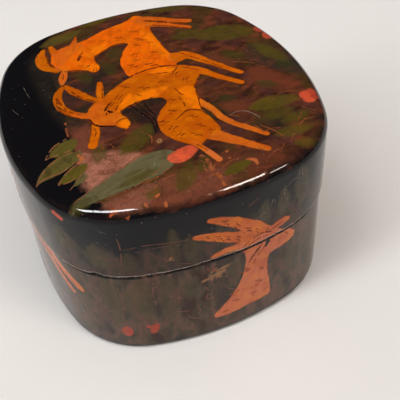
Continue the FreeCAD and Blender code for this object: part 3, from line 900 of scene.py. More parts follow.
def top_grid(skin):
    """The lid's top as a square grid bent to the outline. Its last points make the closing row."""
    steps = np.arange(SIDE_CELLS + 1)
    i, j = np.meshgrid(steps, steps, indexing="ij")
    a, b = 2 * i / SIDE_CELLS - 1, 2 * j / SIDE_CELLS - 1
    level = np.maximum(np.abs(a), np.abs(b))
    safe = np.maximum(level, 1e-9)
    a, b = a / safe, b / safe
    # Length round the unit square from the middle of its near side, anticlockwise
    quarter = np.select(
        [(b <= -1 + 1e-9) & (a >= 0), a >= 1 - 1e-9, b >= 1 - 1e-9, a <= -1 + 1e-9],
        [a / 8, 0.25 + b / 8, 0.5 - a / 8, 0.75 - b / 8],
        default=1 + a / 8,
    )
    flat, _ = OUTLINE.at(quarter * PERIMETER, -RIM_ROUND)
    flat = flat * level[..., None]
    height = LID_TOP - crown_drop(level)
    points = np.column_stack([flat.reshape(-1, 2), height.ravel()])
    wall = np.full((points.shape[0], 2), OFF_CHART)
    ids = skin.add(points, points[:, :2].copy(), wall).reshape(i.shape)
    quads = np.stack([ids[:-1, :-1], ids[1:, :-1], ids[1:, 1:], ids[:-1, 1:]], axis=-1)
    skin.faces += quads.reshape(-1, 4).tolist()
    edge = np.concatenate([ids[:-1, 0], ids[-1, :-1], ids[:0:-1, -1], ids[0, :0:-1]])
    return np.roll(edge, -SIDE_CELLS // 2)


def sawn_wobble():
    """The hand-sawn cut's slight unevenness, in height along the outline."""
    turn = RING / PERIMETER * 2 * math.pi
    slow = 0.14 * np.sin(3 * turn + 0.6) + 0.10 * np.sin(7 * turn + 2.1)
    quick = 0.07 * np.sin(23 * turn + 1.3) + 0.05 * np.sin(41 * turn + 0.2) + 0.03 * np.sin(97 * turn)
    chip_places = ((-29.6, 1.2, 0.55), (23.5, 0.9, 0.3), (64, 1.5, 0.35), (121, 1.0, 0.4), (-4, 2.5, 0.2))
    chips = np.zeros(RING_COUNT)
    for place, width, depth in chip_places:
        gap = np.mod(RING - place + PERIMETER / 2, PERIMETER) - PERIMETER / 2
        chips += depth * np.exp(-((gap / width) ** 2))
    return 0.06 + np.abs(slow + quick) + chips


def shares(length):
    """Even shares up to 1 of a length that rows of cells fill."""
    rows = round(length / CELL)
    return np.arange(1, rows + 1) / rows


def sweep(skin, row, stations, flip=False, sawn=False):
    """Joins a row to one at each station: distance off the outline, height, and what else a ring takes.

    Rows that run down from the lid's top have their faces flipped.
    """
    for station in stations:
        following = ring(skin, *station)
        skin.join(*((following, row) if flip else (row, following)), sawn=sawn)
        row = following
    return row


def lid_skin():
    """The whole lacquered lid: outside, sawn edge and black inside."""
    skin = Skin()
    row = sweep(skin, top_grid(skin), [
        (
            RIM_ROUND * (math.sin(share * QUARTER) - 1), RIM_START + RIM_ROUND * math.cos(share * QUARTER),
            RIM_START + RIM_LENGTH * (1 - share),
        )
        for share in shares(RIM_LENGTH)
    ], flip=True)
    wobble, low = sawn_wobble(), CUT + CUT_EASE
    row = sweep(skin, row, [
        (0, RIM_START + (low - RIM_START) * share, None, wobble * share**8)
        for share in shares(RIM_START - low)
    ], flip=True)
    row = sweep(skin, row, [
        (CUT_EASE * (math.cos(angle) - 1), CUT + CUT_EASE * (1 - math.sin(angle)), None, wobble)
        for angle in EASE_ANGLES
    ], flip=True, sawn=True)
    outer_rows, inner = skin.count, SKIN_INSET - LID_WALL
    row = sweep(skin, row, [(inner + CUT_EASE, CUT, None, wobble)], flip=True, sawn=True)
    row = sweep(skin, row, [(inner, CUT + CUT_EASE, None, wobble), (inner, CEILING)], flip=True)
    skin.cap(row)
    return skin, outer_rows


def base_skin():
    """The lacquered base outside the collar: underside, wall and sawn edge."""
    skin = Skin()
    outer, foot = -BASE_INSET, BASE_LOW[2] + SKIN_INSET / 2
    row = ring(skin, outer - FOOT_ROUND, foot)
    skin.cap(row[::-1])
    row = sweep(skin, row, [
        (outer + FOOT_ROUND * (math.sin(angle) - 1), foot + FOOT_ROUND * (1 - math.cos(angle)))
        for angle in QUARTER * shares(FOOT_ROUND * QUARTER)
    ])
    low, high = BASE_LOW[2] + FOOT_ROUND, BASE_HIGH[2] - CUT_EASE
    row = sweep(skin, row, [(outer, low + (high - low) * share) for share in shares(high - low)])
    row = sweep(skin, row, [
        (outer + CUT_EASE * (math.cos(angle) - 1), BASE_HIGH[2] - CUT_EASE * (1 - math.sin(angle)))
        for angle in EASE_ANGLES
    ], sawn=True)
    outer_rows, inner = skin.count, outer - BASE_WALL
    row = sweep(skin, row, [(inner, BASE_HIGH[2])], sawn=True)
    skin.cap(sweep(skin, row, [(inner, FLOOR_TOP)]))
    return skin, outer_rows


def as_object(name, points, faces, smooth=True):
    mesh = bpy.data.meshes.new(name)
    mesh.from_pydata((points * MM).tolist(), [], faces)
    mesh.validate()
    if smooth:
        mesh.shade_smooth()
    piece = bpy.data.objects.new(name, mesh)
    bpy.context.collection.objects.link(piece)
    return piece


def store(piece, name, values):
    """Keeps one number for each point of a mesh, for its material to read."""
    layer = piece.data.attributes.new(name, "FLOAT", "POINT")
    layer.data.foreach_set("value", np.asarray(values, np.float32))


def wall_place(along, height, body):
    """Points on a wall, and the directions they face, at lengths along it and heights on its chart."""
    if body == "base":
        flat, facing = OUTLINE.at(along, -BASE_INSET)
        return np.column_stack([flat, height]), np.column_stack([facing, np.zeros(len(flat))])
    tilt = np.clip((height - RIM_START) / RIM_ROUND, 0, math.pi / 2)
    straight = np.minimum(height, RIM_START)
    _, facing = OUTLINE.at(along)
    flat = OUTLINE.at(along)[0] + facing * (RIM_ROUND * (np.cos(tilt) - 1))[:, None]
    points = np.column_stack([flat, straight + RIM_ROUND * np.sin(tilt)])
    return points, np.column_stack([facing * np.cos(tilt)[:, None], np.sin(tilt)])


def top_place(points, tree):
    """Points on the lid's top and the directions they face, found straight below places on its chart."""
    found, facing = np.full((len(points), 3), np.nan), np.full((len(points), 3), np.nan)
    for n, (x, y) in enumerate(points):
        hit, normal, _, _ = tree.ray_cast(Vector((x, y, LID_TOP + LOOK_FROM)), Vector((0, 0, -1)), LOOK_DOWN)
        if hit is not None and normal.z > LEAST_LEVEL:
            found[n], facing[n] = hit, normal
    return found, facing


def resampled(spine, step):
    """A stroke's spine at about even steps, and its length."""
    run = np.concatenate([[0], np.cumsum(np.hypot(*np.diff(spine[:, :2], axis=0).T))])
    count = max(3, round(run[-1] / step) + 1)
    places = np.linspace(0, run[-1], count)
    return np.stack([np.interp(places, run, column) for column in spine.T], 1), run[-1]


class LineWork:
    """Thin raised brush lines that follow the lacquer, as closed strips in one mesh."""

    def __init__(self, seed):
        self.random = np.random.default_rng(seed)
        self.points, self.faces = [], []

    def draw(self, stroke, place, allowed):
        spine, length = resampled(stroke.spine, LINE_STEP)
        unit = np.gradient(spine[:, :2], axis=0)
        unit /= np.maximum(np.hypot(*unit.T), 1e-9)[:, None]
        side = np.stack([-unit[:, 1], unit[:, 0]], axis=1)
        phase = self.random.uniform(0, 2 * math.pi, 4)
        run = np.linspace(0, length, len(spine))
        uneven = 1 + 0.18 * np.sin(run * 2.3 + phase[0]) + 0.14 * np.sin(run * 5.1 + phase[1])
        broken = np.sin(run * 1.1 + phase[2]) + 0.8 * np.sin(run * 2.7 + phase[3]) < -1.35
        half = spine[:, 2] * uneven
        edges = [place(spine[:, :2] + side * (half * sign)[:, None]) for sign in (1, -1)]
        good = allowed(spine[:, :2]) & ~(broken & (length > 4))
        for points, facing in edges:
            good &= np.isfinite(points).all(axis=1)
        start = None
        for n in range(len(spine) + 1):
            if n < len(spine) and good[n]:
                start = n if start is None else start
            elif start is not None:
                if n - start >= 2:
                    self.strip(edges, slice(start, n))
                start = None

    def strip(self, edges, part):
        (left, left_facing), (right, right_facing) = edges
        rows = np.stack([
            left[part] - left_facing[part] * LINE_DEPTH, left[part] + left_facing[part] * LINE_LIFT,
            right[part] + right_facing[part] * LINE_LIFT, right[part] - right_facing[part] * LINE_DEPTH,
        ], axis=1)
        first = sum(len(points) for points in self.points)
        self.points.append(rows.reshape(-1, 3))
        for n in range(len(rows) - 1):
            a = first + 4 * n
            self.faces += [[a + k, a + (k + 1) % 4, a + 4 + (k + 1) % 4, a + 4 + k] for k in range(4)]
        last = first + 4 * (len(rows) - 1)
        self.faces += [[first + 3, first + 2, first + 1, first], [last, last + 1, last + 2, last + 3]]

    def piece(self, name, body, slot_name, material):
        piece = as_object(name, np.concatenate(self.points), self.faces, smooth=False)
        piece.data.materials.append(material)
        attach(piece, body)
        return piece


def dust(seed, count, low, high):
    """Specks of dust and nibs under the last coat, scattered over part of a chart."""
    random = np.random.default_rng(seed)
    specks = []
    for _ in range(count):
        x, y = random.uniform(low, high)
        turn, reach = random.uniform(0, math.pi), random.uniform(0.05, 0.16)
        dx, dy = math.cos(turn) * reach, math.sin(turn) * reach
        specks.append(Stroke([(x - dx, y - dy, 0.04), (x, y, 0.07), (x + dx, y + dy, 0.04)]))
    return specks


# Heights between which each body's wall carries brush lines, and where the paint changes on the chart
LINE_HEIGHTS = {"lid": (CUT + 0.9, RIM_START + RIM_LENGTH * 0.9), "base": (2.4, CUT - 0.8)}
BLACK_FROM = (35.5, 40.5)
FLECKS_FROM = (46.0, 48.4)
TOP_FROM = (46.5, 48.0)


def line_work(skin):
    """Every fine line on the lid and the base, by colour."""
    mesh = skin.data
    tree = BVHTree.FromPolygons(
        [vertex.co / MM for vertex in mesh.vertices], [tuple(face.vertices) for face in mesh.polygons]
    )
    kinds = {
        "dark": (
            NEAR_ANTELOPE_LINES + FAR_ANTELOPE_LINES, FRONT_ANTELOPE_LINES + leaps(LEAPING_ANTELOPE_LINES),
            line_material("dark_line_paint", srgb(96, 36, 7), srgb(136, 58, 10)),
        ),
        "ink": (
            TOP_INK, WALL_INK + leaps([dot(5.6, 14.9, 0.7)]),
            line_material("ink_line_paint", srgb(20, 12, 10), srgb(40, 20, 12)),
        ),
        "rust": (TOP_TWIGS, [], line_material("rust_line_paint", srgb(140, 76, 40), srgb(98, 56, 36))),
        "gilt": (TOP_GILT, [], line_material("gilt_line_paint", srgb(136, 86, 54), srgb(114, 76, 58))),
        "dim": (
            [], WALL_TWIGS + sprays(SPRAY_TWIGS + leaf_edges(SPRAY_LEAF_ROWS)),
            line_material("dim_line_paint", srgb(104, 66, 54), srgb(76, 52, 44)),
        ),
        "pale": (
            TOP_PALE + dust(3, 12, (-38, -26), (-24, 30)) + dust(4, 44, (-24, -38), (32, 34))
            + dust(5, 34, (-30, -42), (14, -34)),
            WALL_PALE + dust(6, 44, (-45, 30), (45, 48.5)) + dust(7, 20, (-40, 3), (40, 27)),
            line_material("pale_nib", srgb(128, 118, 110), srgb(90, 78, 70)),
        ),
    }
    for kind, (on_top, on_wall, material) in kinds.items():
        for body, (low, high) in LINE_HEIGHTS.items():
            work = LineWork(11)
            if body == "lid":
                for stroke in on_top:
                    work.draw(stroke, lambda p: top_place(p, tree), lambda p: np.ones(len(p), bool))
            for stroke in on_wall:
                work.draw(
                    stroke, lambda p: wall_place(p[:, 0], p[:, 1], body),
                    lambda p: (p[:, 1] > low) & (p[:, 1] < high),
                )
            if work.faces:
                work.piece(f"{body}_{kind}_lines", body, f"{body}_lacquer", material)


def painted_skin(name, skin, outer_rows, body, *nodes):
    """Makes the mesh of a skin and stores where each coat of paint lies on it."""
    points, top_chart, wall_chart = skin.arrays()
    outside = np.zeros(len(points))
    outside[:outer_rows] = 1
    piece = as_object(name, points, skin.faces)
    coats = {
        "leaf": (leaves(TOP_LEAF_ROWS) + [BIG_LEAF], wrapped(sprays(leaves(SPRAY_LEAF_ROWS)))),
        "soft": (leaves(TOP_SOFT_LEAF_ROWS), wrapped(leaves(WALL_LEAF_ROWS))),
        "shade": (TOP_SHADE, []),
        "bud": (TOP_BUDS, wrapped(WALL_BUDS + sprays(SPRAY_BUDS))),
        "far": (FAR_ANTELOPE, []),
        "near": (NEAR_ANTELOPE, wrapped(FRONT_ANTELOPE + leaps(LEAPING_ANTELOPE))),
        "glow": (NEAR_ANTELOPE_GLOW + FAR_ANTELOPE_GLOW, []),
        "rose": (NEAR_ANTELOPE_ROSE + FAR_ANTELOPE_ROSE, []),
        "brown": (TOP_BROWN, []),
        "pink": (TOP_PINK, []),
    }
    for coat, (on_top, on_wall) in coats.items():
        top = paint(top_chart, on_top)
        wall = paint(wall_chart, on_wall)
        take_wall = wall[0] < top[0]
        values = [np.where(take_wall, w, t) for t, w in zip(top, wall)]
        for part, value in zip(("", "_tone", "_along", "_across"), values):
            store(piece, coat + part, value)
    store(piece, "outside", outside)
    store(piece, "height", np.where(wall_chart[:, 1] >= OFF_CHART, LID_TOP + RIM_ROUND, wall_chart[:, 1]))
    indices = np.zeros(len(skin.faces), np.int32)
    indices[skin.sawn] = 1
    piece.data.polygons.foreach_set("material_index", indices)
    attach(piece, body)
    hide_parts(*nodes)
    return piece


class Shader:
    """Short ways to add nodes to a material."""

    def __init__(self, name):
        self.material = bpy.data.materials.new(name)
        self.material.use_nodes = True
        self.tree = self.material.node_tree
        self.tree.nodes.clear()
        self.coordinates = self.tree.nodes.new("ShaderNodeTexCoord").outputs["Object"]

    def node(self, kind, inputs=(), **settings):
        node = self.tree.nodes.new(kind)
        for key, value in settings.items():
            setattr(node, key, value)
        for key, value in dict(inputs).items():
            self.put(node.inputs[key], value)
        return node

    def put(self, socket, value):
        if isinstance(value, bpy.types.NodeSocket):
            self.tree.links.new(value, socket)
        elif isinstance(value, tuple) and len(value) == 3 and socket.type == "RGBA":
            socket.default_value = (*value, 1)
        else:
            socket.default_value = value

    def math(self, operation, a, b):
        return self.node("ShaderNodeMath", {0: a, 1: b}, operation=operation).outputs[0]

    def times(self, a, b):
        return self.math("MULTIPLY", a, b)

    def plus(self, a, b):
        return self.math("ADD", a, b)

    def rest(self, share):
        """What is left of 1."""
        return self.math("SUBTRACT", 1.0, share)

    def swing(self, noise, reach):
        """Noise turned into a length that swings about zero."""
        return self.times(self.math("SUBTRACT", noise, 0.5), reach)

    def attribute(self, name):
        return self.node("ShaderNodeAttribute", attribute_name=name).outputs["Fac"]

    def step(self, value, low, high):
        """0 below low and 1 above high, smooth between."""
        return self.node(
            "ShaderNodeMapRange", {"Value": value, "From Min": low, "From Max": high},
            interpolation_type="SMOOTHSTEP",
        ).outputs["Result"]

    def part(self, value, low, high, most):
        """0 below low and most above high, smooth between."""
        return self.times(self.step(value, low, high), most)

    def mix_value(self, share, a, b):
        return self.node("ShaderNodeMix", {0: share, 2: a, 3: b}, data_type="FLOAT").outputs[0]

    def mix(self, share, a, b):
        return self.node("ShaderNodeMix", {0: share, 6: a, 7: b}, data_type="RGBA").outputs[2]

    def noise(self, size, detail=3.0, rough=0.55, vector=None, stretch=(1, 1, 1), turn=0.0, warp=0.0):
        """Noise whose features are about a size in millimetres."""
        unit = 1 if vector else MM
        mapped = self.node(
            "ShaderNodeMapping",
            {
                "Vector": vector or self.coordinates, "Scale": tuple(s / size / unit for s in stretch),
                "Rotation": (0, 0, turn),
            },
        ).outputs[0]
        return self.node(
            "ShaderNodeTexNoise",
            {"Vector": mapped, "Scale": 1.0, "Detail": detail, "Roughness": rough, "Distortion": warp},
        ).outputs["Fac"]

    def streaks(self, coat, size, length):
        """Noise drawn out along a coat's brush strokes."""
        along, across = self.attribute(coat + "_along"), self.attribute(coat + "_across")
        vector = self.node("ShaderNodeCombineXYZ", {"X": along, "Y": across}).outputs[0]
        return self.noise(1.0, 3.0, 0.6, vector, (1 / length, 1 / size, 1), warp=0.4)

    def colours(self, share, *stops):
        """A colour ramp from (place, colour) stops."""
        ramp = self.node("ShaderNodeValToRGB", {"Fac": share})
        elements = ramp.color_ramp.elements
        while len(elements) < len(stops):
            elements.new(0.5)
        for element, (place, colour) in zip(elements, stops):
            element.position = place
            element.color = (*colour, 1)
        return ramp.outputs["Color"]

    def tones(self, coat, *stops):
        """A colour ramp over the tones that a coat's strokes have."""
        return self.colours(self.attribute(coat + "_tone"), *stops)

    def bump(self, height, depth, normal=None):
        inputs = {"Height": height, "Strength": 1.0, "Distance": depth * MM}
        if normal is not None:
            inputs["Normal"] = normal
        return self.node("ShaderNodeBump", inputs).outputs[0]

    def finish(self, shader):
        output = self.tree.nodes.new("ShaderNodeOutputMaterial")
        self.tree.links.new(shader.outputs[0], output.inputs["Surface"])
        return self.material


def srgb(red, green, blue):
    """Linear colour from the 0 to 255 values that a picture shows."""
    return tuple(
        c / 12.92 if c <= 0.04045 else ((c + 0.055) / 1.055) ** 2.4
        for c in (value / 255 for value in (red, green, blue))
    )


BLACK = srgb(13, 12, 14)
NIGHT = srgb(14, 14, 17)
INSIDE_BLACK = srgb(22, 20, 20)
SHADE = srgb(32, 22, 21)
DEEP_BROWN = srgb(50, 27, 20)
BROWN = srgb(78, 43, 27)
RUST = srgb(102, 50, 32)
PLUM = srgb(70, 41, 37)
MOSS_BROWN = srgb(62, 50, 22)
PINK_BROWN = srgb(160, 104, 84)
RED_BROWN = srgb(108, 60, 43)
WALL_DARK = srgb(50, 38, 33)
WALL_BROWN = srgb(93, 64, 51)
WALL_MOSS = srgb(68, 58, 43)
DARK_OLIVE = srgb(42, 44, 22)
OLIVE = srgb(86, 76, 20)
PALE_OLIVE = srgb(94, 90, 62)
GREEN_GREY = srgb(46, 43, 33)
RED = srgb(214, 86, 52)
DARK_RED = srgb(142, 50, 36)
GOLD_DAB = srgb(142, 103, 64)
AMBER = srgb(191, 91, 4)
DARK_AMBER = srgb(160, 76, 2)
ORANGE = srgb(222, 96, 4)
GLOW = srgb(230, 115, 5)
GOLD = srgb(214, 124, 6)
EMBER = srgb(170, 66, 6)
ROSE = srgb(196, 92, 22)
RUST_ORANGE = srgb(176, 78, 24)
TERRACOTTA = srgb(192, 104, 66)
LINE_BROWN = srgb(46, 22, 10)
# Worn pale paper, which also serves as the painted highlight along the lid's lower edge
RAW_PAPER_AND_SHEEN = srgb(178, 164, 152)
BOARD = srgb(104, 78, 54)
PINK_SPECK = srgb(184, 132, 108)
BUD_ORANGE = srgb(190, 92, 40)
TABLE_NEAR_SHADED = (0.645, 0.628, 0.609)
TABLE_FAR = (0.775, 0.762, 0.745)
TABLE_CLOUD = (0.74, 0.73, 0.71)
ROOM_GREY = (0.03, 0.03, 0.033)
TABLE_SIZE = 4.0


def ground_paint(nodes, mask, fine):
    """The dark ground under everything: black, brushed browns and moss, a rosy wash, smoky walls."""
    cloud = nodes.noise(10, 3, 0.5)
    dab = nodes.noise(4.2, 4, 0.55, stretch=(0.7, 1.2, 1), turn=-0.35, warp=0.8)
    brush = nodes.noise(2.4, 3, 0.5, stretch=(0.7, 1.2, 1), turn=0.6, warp=0.6)
    brown = nodes.colours(dab, (0.38, DEEP_BROWN), (0.52, BROWN), (0.64, RUST))
    brown = nodes.mix(nodes.part(cloud, 0.5, 0.6, 0.65), brown, MOSS_BROWN)
    brown = nodes.mix(nodes.part(cloud, 0.48, 0.4, 0.6), brown, PLUM)
    brown = nodes.mix(nodes.part(brush, 0.48, 0.64, 0.5), brown, DEEP_BROWN)
    brown = nodes.mix(nodes.part(fine, 0.56, 0.72, 0.25), brown, RUST)
    brown_mask, _ = mask("brown", 0.6, 1.6)
    top = nodes.mix(brown_mask, BLACK, brown)
    pink_mask, _ = mask("pink", 1.4, 3.0)
    pink = nodes.tones("pink", (0.0, PINK_BROWN), (1.0, RED_BROWN))
    pink = nodes.mix(nodes.part(dab, 0.44, 0.62, 0.5), pink, RED_BROWN)
    pink = nodes.mix(nodes.part(brush, 0.5, 0.64, 0.35), pink, BROWN)
    most = nodes.mix_value(nodes.attribute("pink_tone"), 0.5, 0.12)
    specks = nodes.part(fine, 0.55, 0.68, most)
    pink = nodes.mix(specks, pink, PINK_SPECK)
    thin = nodes.mix_value(nodes.step(nodes.noise(1.6, 4, 0.7), 0.46, 0.62), 0.92, 0.6)
    top = nodes.mix(nodes.times(pink_mask, thin), top, pink)
    shade_mask, _ = mask("shade", 1.8, 2.4)
    shade = nodes.tones("shade", (0.0, SHADE), (0.5, GREEN_GREY), (1.0, RUST))
    thick = nodes.mix_value(nodes.step(dab, 0.4, 0.6), 0.9, 0.5)
    top = nodes.mix(nodes.times(shade_mask, thick), top, shade)

    height = nodes.attribute("height")
    smear = nodes.noise(4.2, 4, 0.55, stretch=(1, 1, 0.3))
    blotch = nodes.noise(5, 4, 0.55, stretch=(1, 1, 0.5))
    line = nodes.plus(height, nodes.swing(smear, 16))
    wall = nodes.colours(
        blotch, (0.34, WALL_DARK), (0.42, WALL_MOSS), (0.5, WALL_BROWN), (0.58, WALL_MOSS),
        (0.68, DEEP_BROWN),
    )
    wall = nodes.mix(nodes.part(smear, 0.48, 0.64, 0.38), wall, DEEP_BROWN)
    wall = nodes.mix(nodes.part(fine, 0.54, 0.7, 0.25), wall, WALL_BROWN)
    wall = nodes.mix(nodes.part(height, CUT - 0.6, CUT + 1, 0.42), wall, NIGHT)
    wall = nodes.mix(nodes.step(line, *BLACK_FROM), wall, NIGHT)
    foot = nodes.step(nodes.plus(height, nodes.times(smear, 2)), 1.6, 3.6)
    wall = nodes.mix(foot, NIGHT, wall)
    edge = nodes.plus(height, nodes.swing(dab, 4))
    above = nodes.step(edge, RIM_START + 1.3, RIM_START + 2.0)
    flecks = nodes.times(nodes.step(nodes.noise(1.3, 5, 0.75), 0.62, 0.67), nodes.step(height, *FLECKS_FROM))
    # Painted shade: the top's paint darkens towards SHADE down the rim's curve
    rim_painted_shade = nodes.part(edge, RIM_START + 3.2, RIM_START + 1.8, 0.6)
    ground = nodes.mix(above, wall, nodes.mix(rim_painted_shade, top, SHADE))
    return nodes.mix(nodes.times(flecks, nodes.times(brown_mask, 0.7)), ground, RUST)


# Each coat of leaves: how soft and how ragged its edge is, how much it covers and how mottled it is
LEAF_COATS = {"leaf": (0.25, 0.8, 0.94, 0.4), "soft": (0.7, 2.0, 0.72, 0.55)}


def leaf_paint(nodes, under, mask, on_wall):
    """Leaves brushed along their length: some wiped in softly, some firm with ragged ends."""
    for coat, (soft, rough, most, mottled) in LEAF_COATS.items():
        leaf_mask, _ = mask(coat, soft, rough)
        streak = nodes.streaks(coat, 0.5, 6.0)
        colour = nodes.tones(coat, (0.0, DARK_OLIVE), (0.45, OLIVE), (1.0, PALE_OLIVE))
        colour = nodes.mix(on_wall, colour, nodes.mix(0.65, colour, WALL_MOSS))
        shade = nodes.mix(0.5, colour, DEEP_BROWN)
        colour = nodes.mix(nodes.part(streak, 0.44, 0.66, 0.6), colour, shade)
        colour = nodes.mix(nodes.part(nodes.noise(3, 3, 0.6), 0.48, 0.66, mottled), colour, shade)
        thin = nodes.rest(nodes.part(nodes.noise(2.4, 5, 0.7), 0.52, 0.68, mottled))
        amount = nodes.times(nodes.times(leaf_mask, nodes.mix_value(on_wall, most, most * 0.85)), thin)
        under = nodes.mix(amount, under, colour)
    return under


def bud_paint(nodes, under, mask):
    """Buds: a red body with a rosier, browner side and a dry edge."""
    bud_mask, distance = mask("bud", 0.2, 0.7)
    colour = nodes.tones("bud", (0.0, DARK_RED), (0.5, RED), (0.8, BUD_ORANGE), (1.0, GOLD_DAB))
    dull = nodes.mix(0.6, colour, RED_BROWN)
    colour = nodes.mix(nodes.part(nodes.noise(2.2, 4, 0.65), 0.48, 0.62, 0.6), colour, dull)
    colour = nodes.mix(nodes.part(distance, -0.7, 0.0, 0.4), colour, dull)
    return nodes.mix(nodes.times(bud_mask, 0.94), under, colour)


def antelope_paint(nodes, under, coat, mask, fine):
    """One coat of antelope paint, brushed lengthwise, with bright and rosy places and a broken dark edge."""
    body_mask, distance = mask(coat, 0.08, 0.2)
    streak = nodes.streaks(coat, 1.3, 9.0)
    light = nodes.tones(
        coat, (0.0, DARK_AMBER), (0.3, AMBER), (0.55, TERRACOTTA), (0.65, RUST_ORANGE), (0.8, ORANGE)
    )
    glow_mask, _ = mask("glow", 0.7, 1.2)
    rose_mask, _ = mask("rose", 0.7, 1.2)
    light = nodes.mix(nodes.times(glow_mask, 0.9), light, GLOW)
    light = nodes.mix(nodes.times(rose_mask, 0.8), light, ROSE)
    dark = nodes.mix(0.35, light, LINE_BROWN)
    colour = nodes.mix(nodes.part(streak, 0.4, 0.7, 0.5), light, dark)
    burnt, gilded = nodes.mix(0.6, dark, EMBER), nodes.mix(0.6, light, GOLD)
    colour = nodes.mix(nodes.part(nodes.noise(4, 3, 0.55), 0.46, 0.62, 0.55), colour, burnt)
    colour = nodes.mix(nodes.part(nodes.noise(3, 3, 0.55), 0.5, 0.62, 0.4), colour, gilded)
    colour = nodes.mix(nodes.part(fine, 0.6, 0.72, 0.3), colour, dark)
    edge = nodes.times(nodes.step(distance, -0.34, -0.06), nodes.step(nodes.noise(4, 2, 0.5), 0.42, 0.52))
    colour = nodes.mix(nodes.times(edge, 0.8), colour, LINE_BROWN)
    return nodes.mix(body_mask, under, colour)


def seam_wear_sheen_and_shadow(nodes, under, height):
    """Worn pale paper and a painted highlight along the lid's sawn edge; a painted shadow on the base below
    it.
    """
    ragged = nodes.plus(height, nodes.swing(nodes.noise(1.5, 4, 0.7), 0.8))
    worn = nodes.mix_value(nodes.step(nodes.noise(6, 4, 0.7), 0.26, 0.42), 0.15, 0.95)
    # Pale paper worn through along the lid's lower edge, made paler and more even as a painted highlight on
    # that edge
    lip_wear_and_sheen = nodes.times(nodes.rest(nodes.step(ragged, CUT + 0.55, CUT + 0.85)), worn)
    on_lid = nodes.step(height, CUT - 0.02, CUT + 0.02)
    coloured = nodes.mix(nodes.times(lip_wear_and_sheen, on_lid), under, RAW_PAPER_AND_SHEEN)
    # Painted shadow: black on the base just below the lid's edge, where the gap under the lid is shaded
    gap_shadow = nodes.times(nodes.step(ragged, CUT - 1.0, CUT - 0.6), nodes.rest(on_lid))
    return nodes.mix(gap_shadow, coloured, BLACK)


def sawn_material():
    """The sawn edge: bare layered board, smeared with dark paint and dirt."""
    nodes = Shader("sawn_board")
    layers = nodes.noise(0.5, 3, 0.6, stretch=(0.2, 0.2, 1))
    colour = nodes.mix(nodes.step(nodes.noise(1.2, 4, 0.6), 0.36, 0.5), BOARD, INSIDE_BLACK)
    colour = nodes.mix(nodes.part(layers, 0.5, 0.62, 0.5), colour, BLACK)
    surface = nodes.bump(nodes.noise(0.5, 4, 0.7), 0.08)
    shader = nodes.node(
        "ShaderNodeBsdfPrincipled",
        {"Base Color": colour, "Roughness": 0.85, "Specular IOR Level": 0.15, "Normal": surface},
    )
    return nodes.finish(shader)


def under_coat(nodes, colour, inputs=()):
    """Matt paint under the glossy clear coat."""
    paint_inputs = {
        "Base Color": colour, "Roughness": 0.5, "Specular IOR Level": 0.0, "Coat Weight": 1.0,
        "Coat Roughness": 0.04, "Coat IOR": COAT_IOR,
    }
    return nodes.finish(nodes.node("ShaderNodeBsdfPrincipled", {**paint_inputs, **dict(inputs)}))


def lacquer_material():
    """Painted ground, leaves, buds and antelopes under one coat of clear lacquer."""
    nodes = Shader("painted_lacquer")
    ragged = nodes.swing(nodes.noise(1.1, 4, 0.6), 1.0)
    fine = nodes.noise(0.5, 4, 0.65)

    def mask(name, soft, rough):
        distance = nodes.plus(nodes.attribute(name), nodes.times(ragged, rough))
        return nodes.rest(nodes.step(distance, -soft, soft)), distance

    colour = ground_paint(nodes, mask, fine)
    colour = leaf_paint(nodes, colour, mask, nodes.rest(nodes.step(nodes.attribute("height"), *TOP_FROM)))
    colour = bud_paint(nodes, colour, mask)
    colour = antelope_paint(nodes, colour, "far", mask, fine)
    colour = antelope_paint(nodes, colour, "near", mask, fine)
    colour = seam_wear_sheen_and_shadow(nodes, colour, nodes.attribute("height"))
    colour = nodes.mix(nodes.attribute("outside"), INSIDE_BLACK, colour)

    surface = nodes.bump(nodes.noise(14, 2, 0.5), 0.3)
    surface = nodes.bump(nodes.step(nodes.noise(0.8, 2, 0.5), 0.66, 0.8), 0.02, surface)
    return under_coat(nodes, colour, {"Normal": surface, "Coat Normal": surface})


def line_material(name, colour, other):
    """Brush line paint under the lacquer, a little uneven."""
    nodes = Shader(name)
    return under_coat(nodes, nodes.mix(nodes.step(nodes.noise(1.5, 3, 0.6), 0.4, 0.65), colour, other))


def black_material():
    """Plain black lacquer, brushed on, for the collar and the inside."""
    nodes = Shader("black_lacquer")
    colour = nodes.mix(nodes.step(nodes.noise(6, 4, 0.6), 0.35, 0.7), INSIDE_BLACK, DEEP_BROWN)
    surface = nodes.bump(nodes.noise(2.5, 3, 0.6, stretch=(1, 1, 0.15)), 0.05)
    shader = nodes.node(
        "ShaderNodeBsdfPrincipled",
        {
            "Base Color": colour, "Roughness": 0.4, "Coat Weight": 0.6, "Coat Roughness": 0.15,
            "Normal": surface,
        },
    )
    return nodes.finish(shader)


def table_material():
    """The pale table, a little cloudy, with painted shade that makes it darker towards the front than at the
    back.
    """
    nodes = Shader("pale_table")
    apart = nodes.node("ShaderNodeSeparateXYZ", {"Vector": nodes.coordinates}).outputs[1]
    # Painted shade: the table darkens towards the front
    colour = nodes.mix(nodes.step(apart, -0.12, 0.16), TABLE_NEAR_SHADED, TABLE_FAR)
    colour = nodes.mix(nodes.times(nodes.noise(60, 2, 0.5), 0.2), colour, TABLE_CLOUD)
    shader = nodes.node("ShaderNodeBsdfPrincipled", {"Base Color": colour, "Roughness": 0.55})
    return nodes.finish(shader)


def make_table():
    """The table that the box stands on, which isn't part of it."""
    bpy.ops.mesh.primitive_plane_add(size=TABLE_SIZE, location=(0, 0, 0))
    table = bpy.context.object
    table.name = "table"
    table.data.materials.append(table_material())


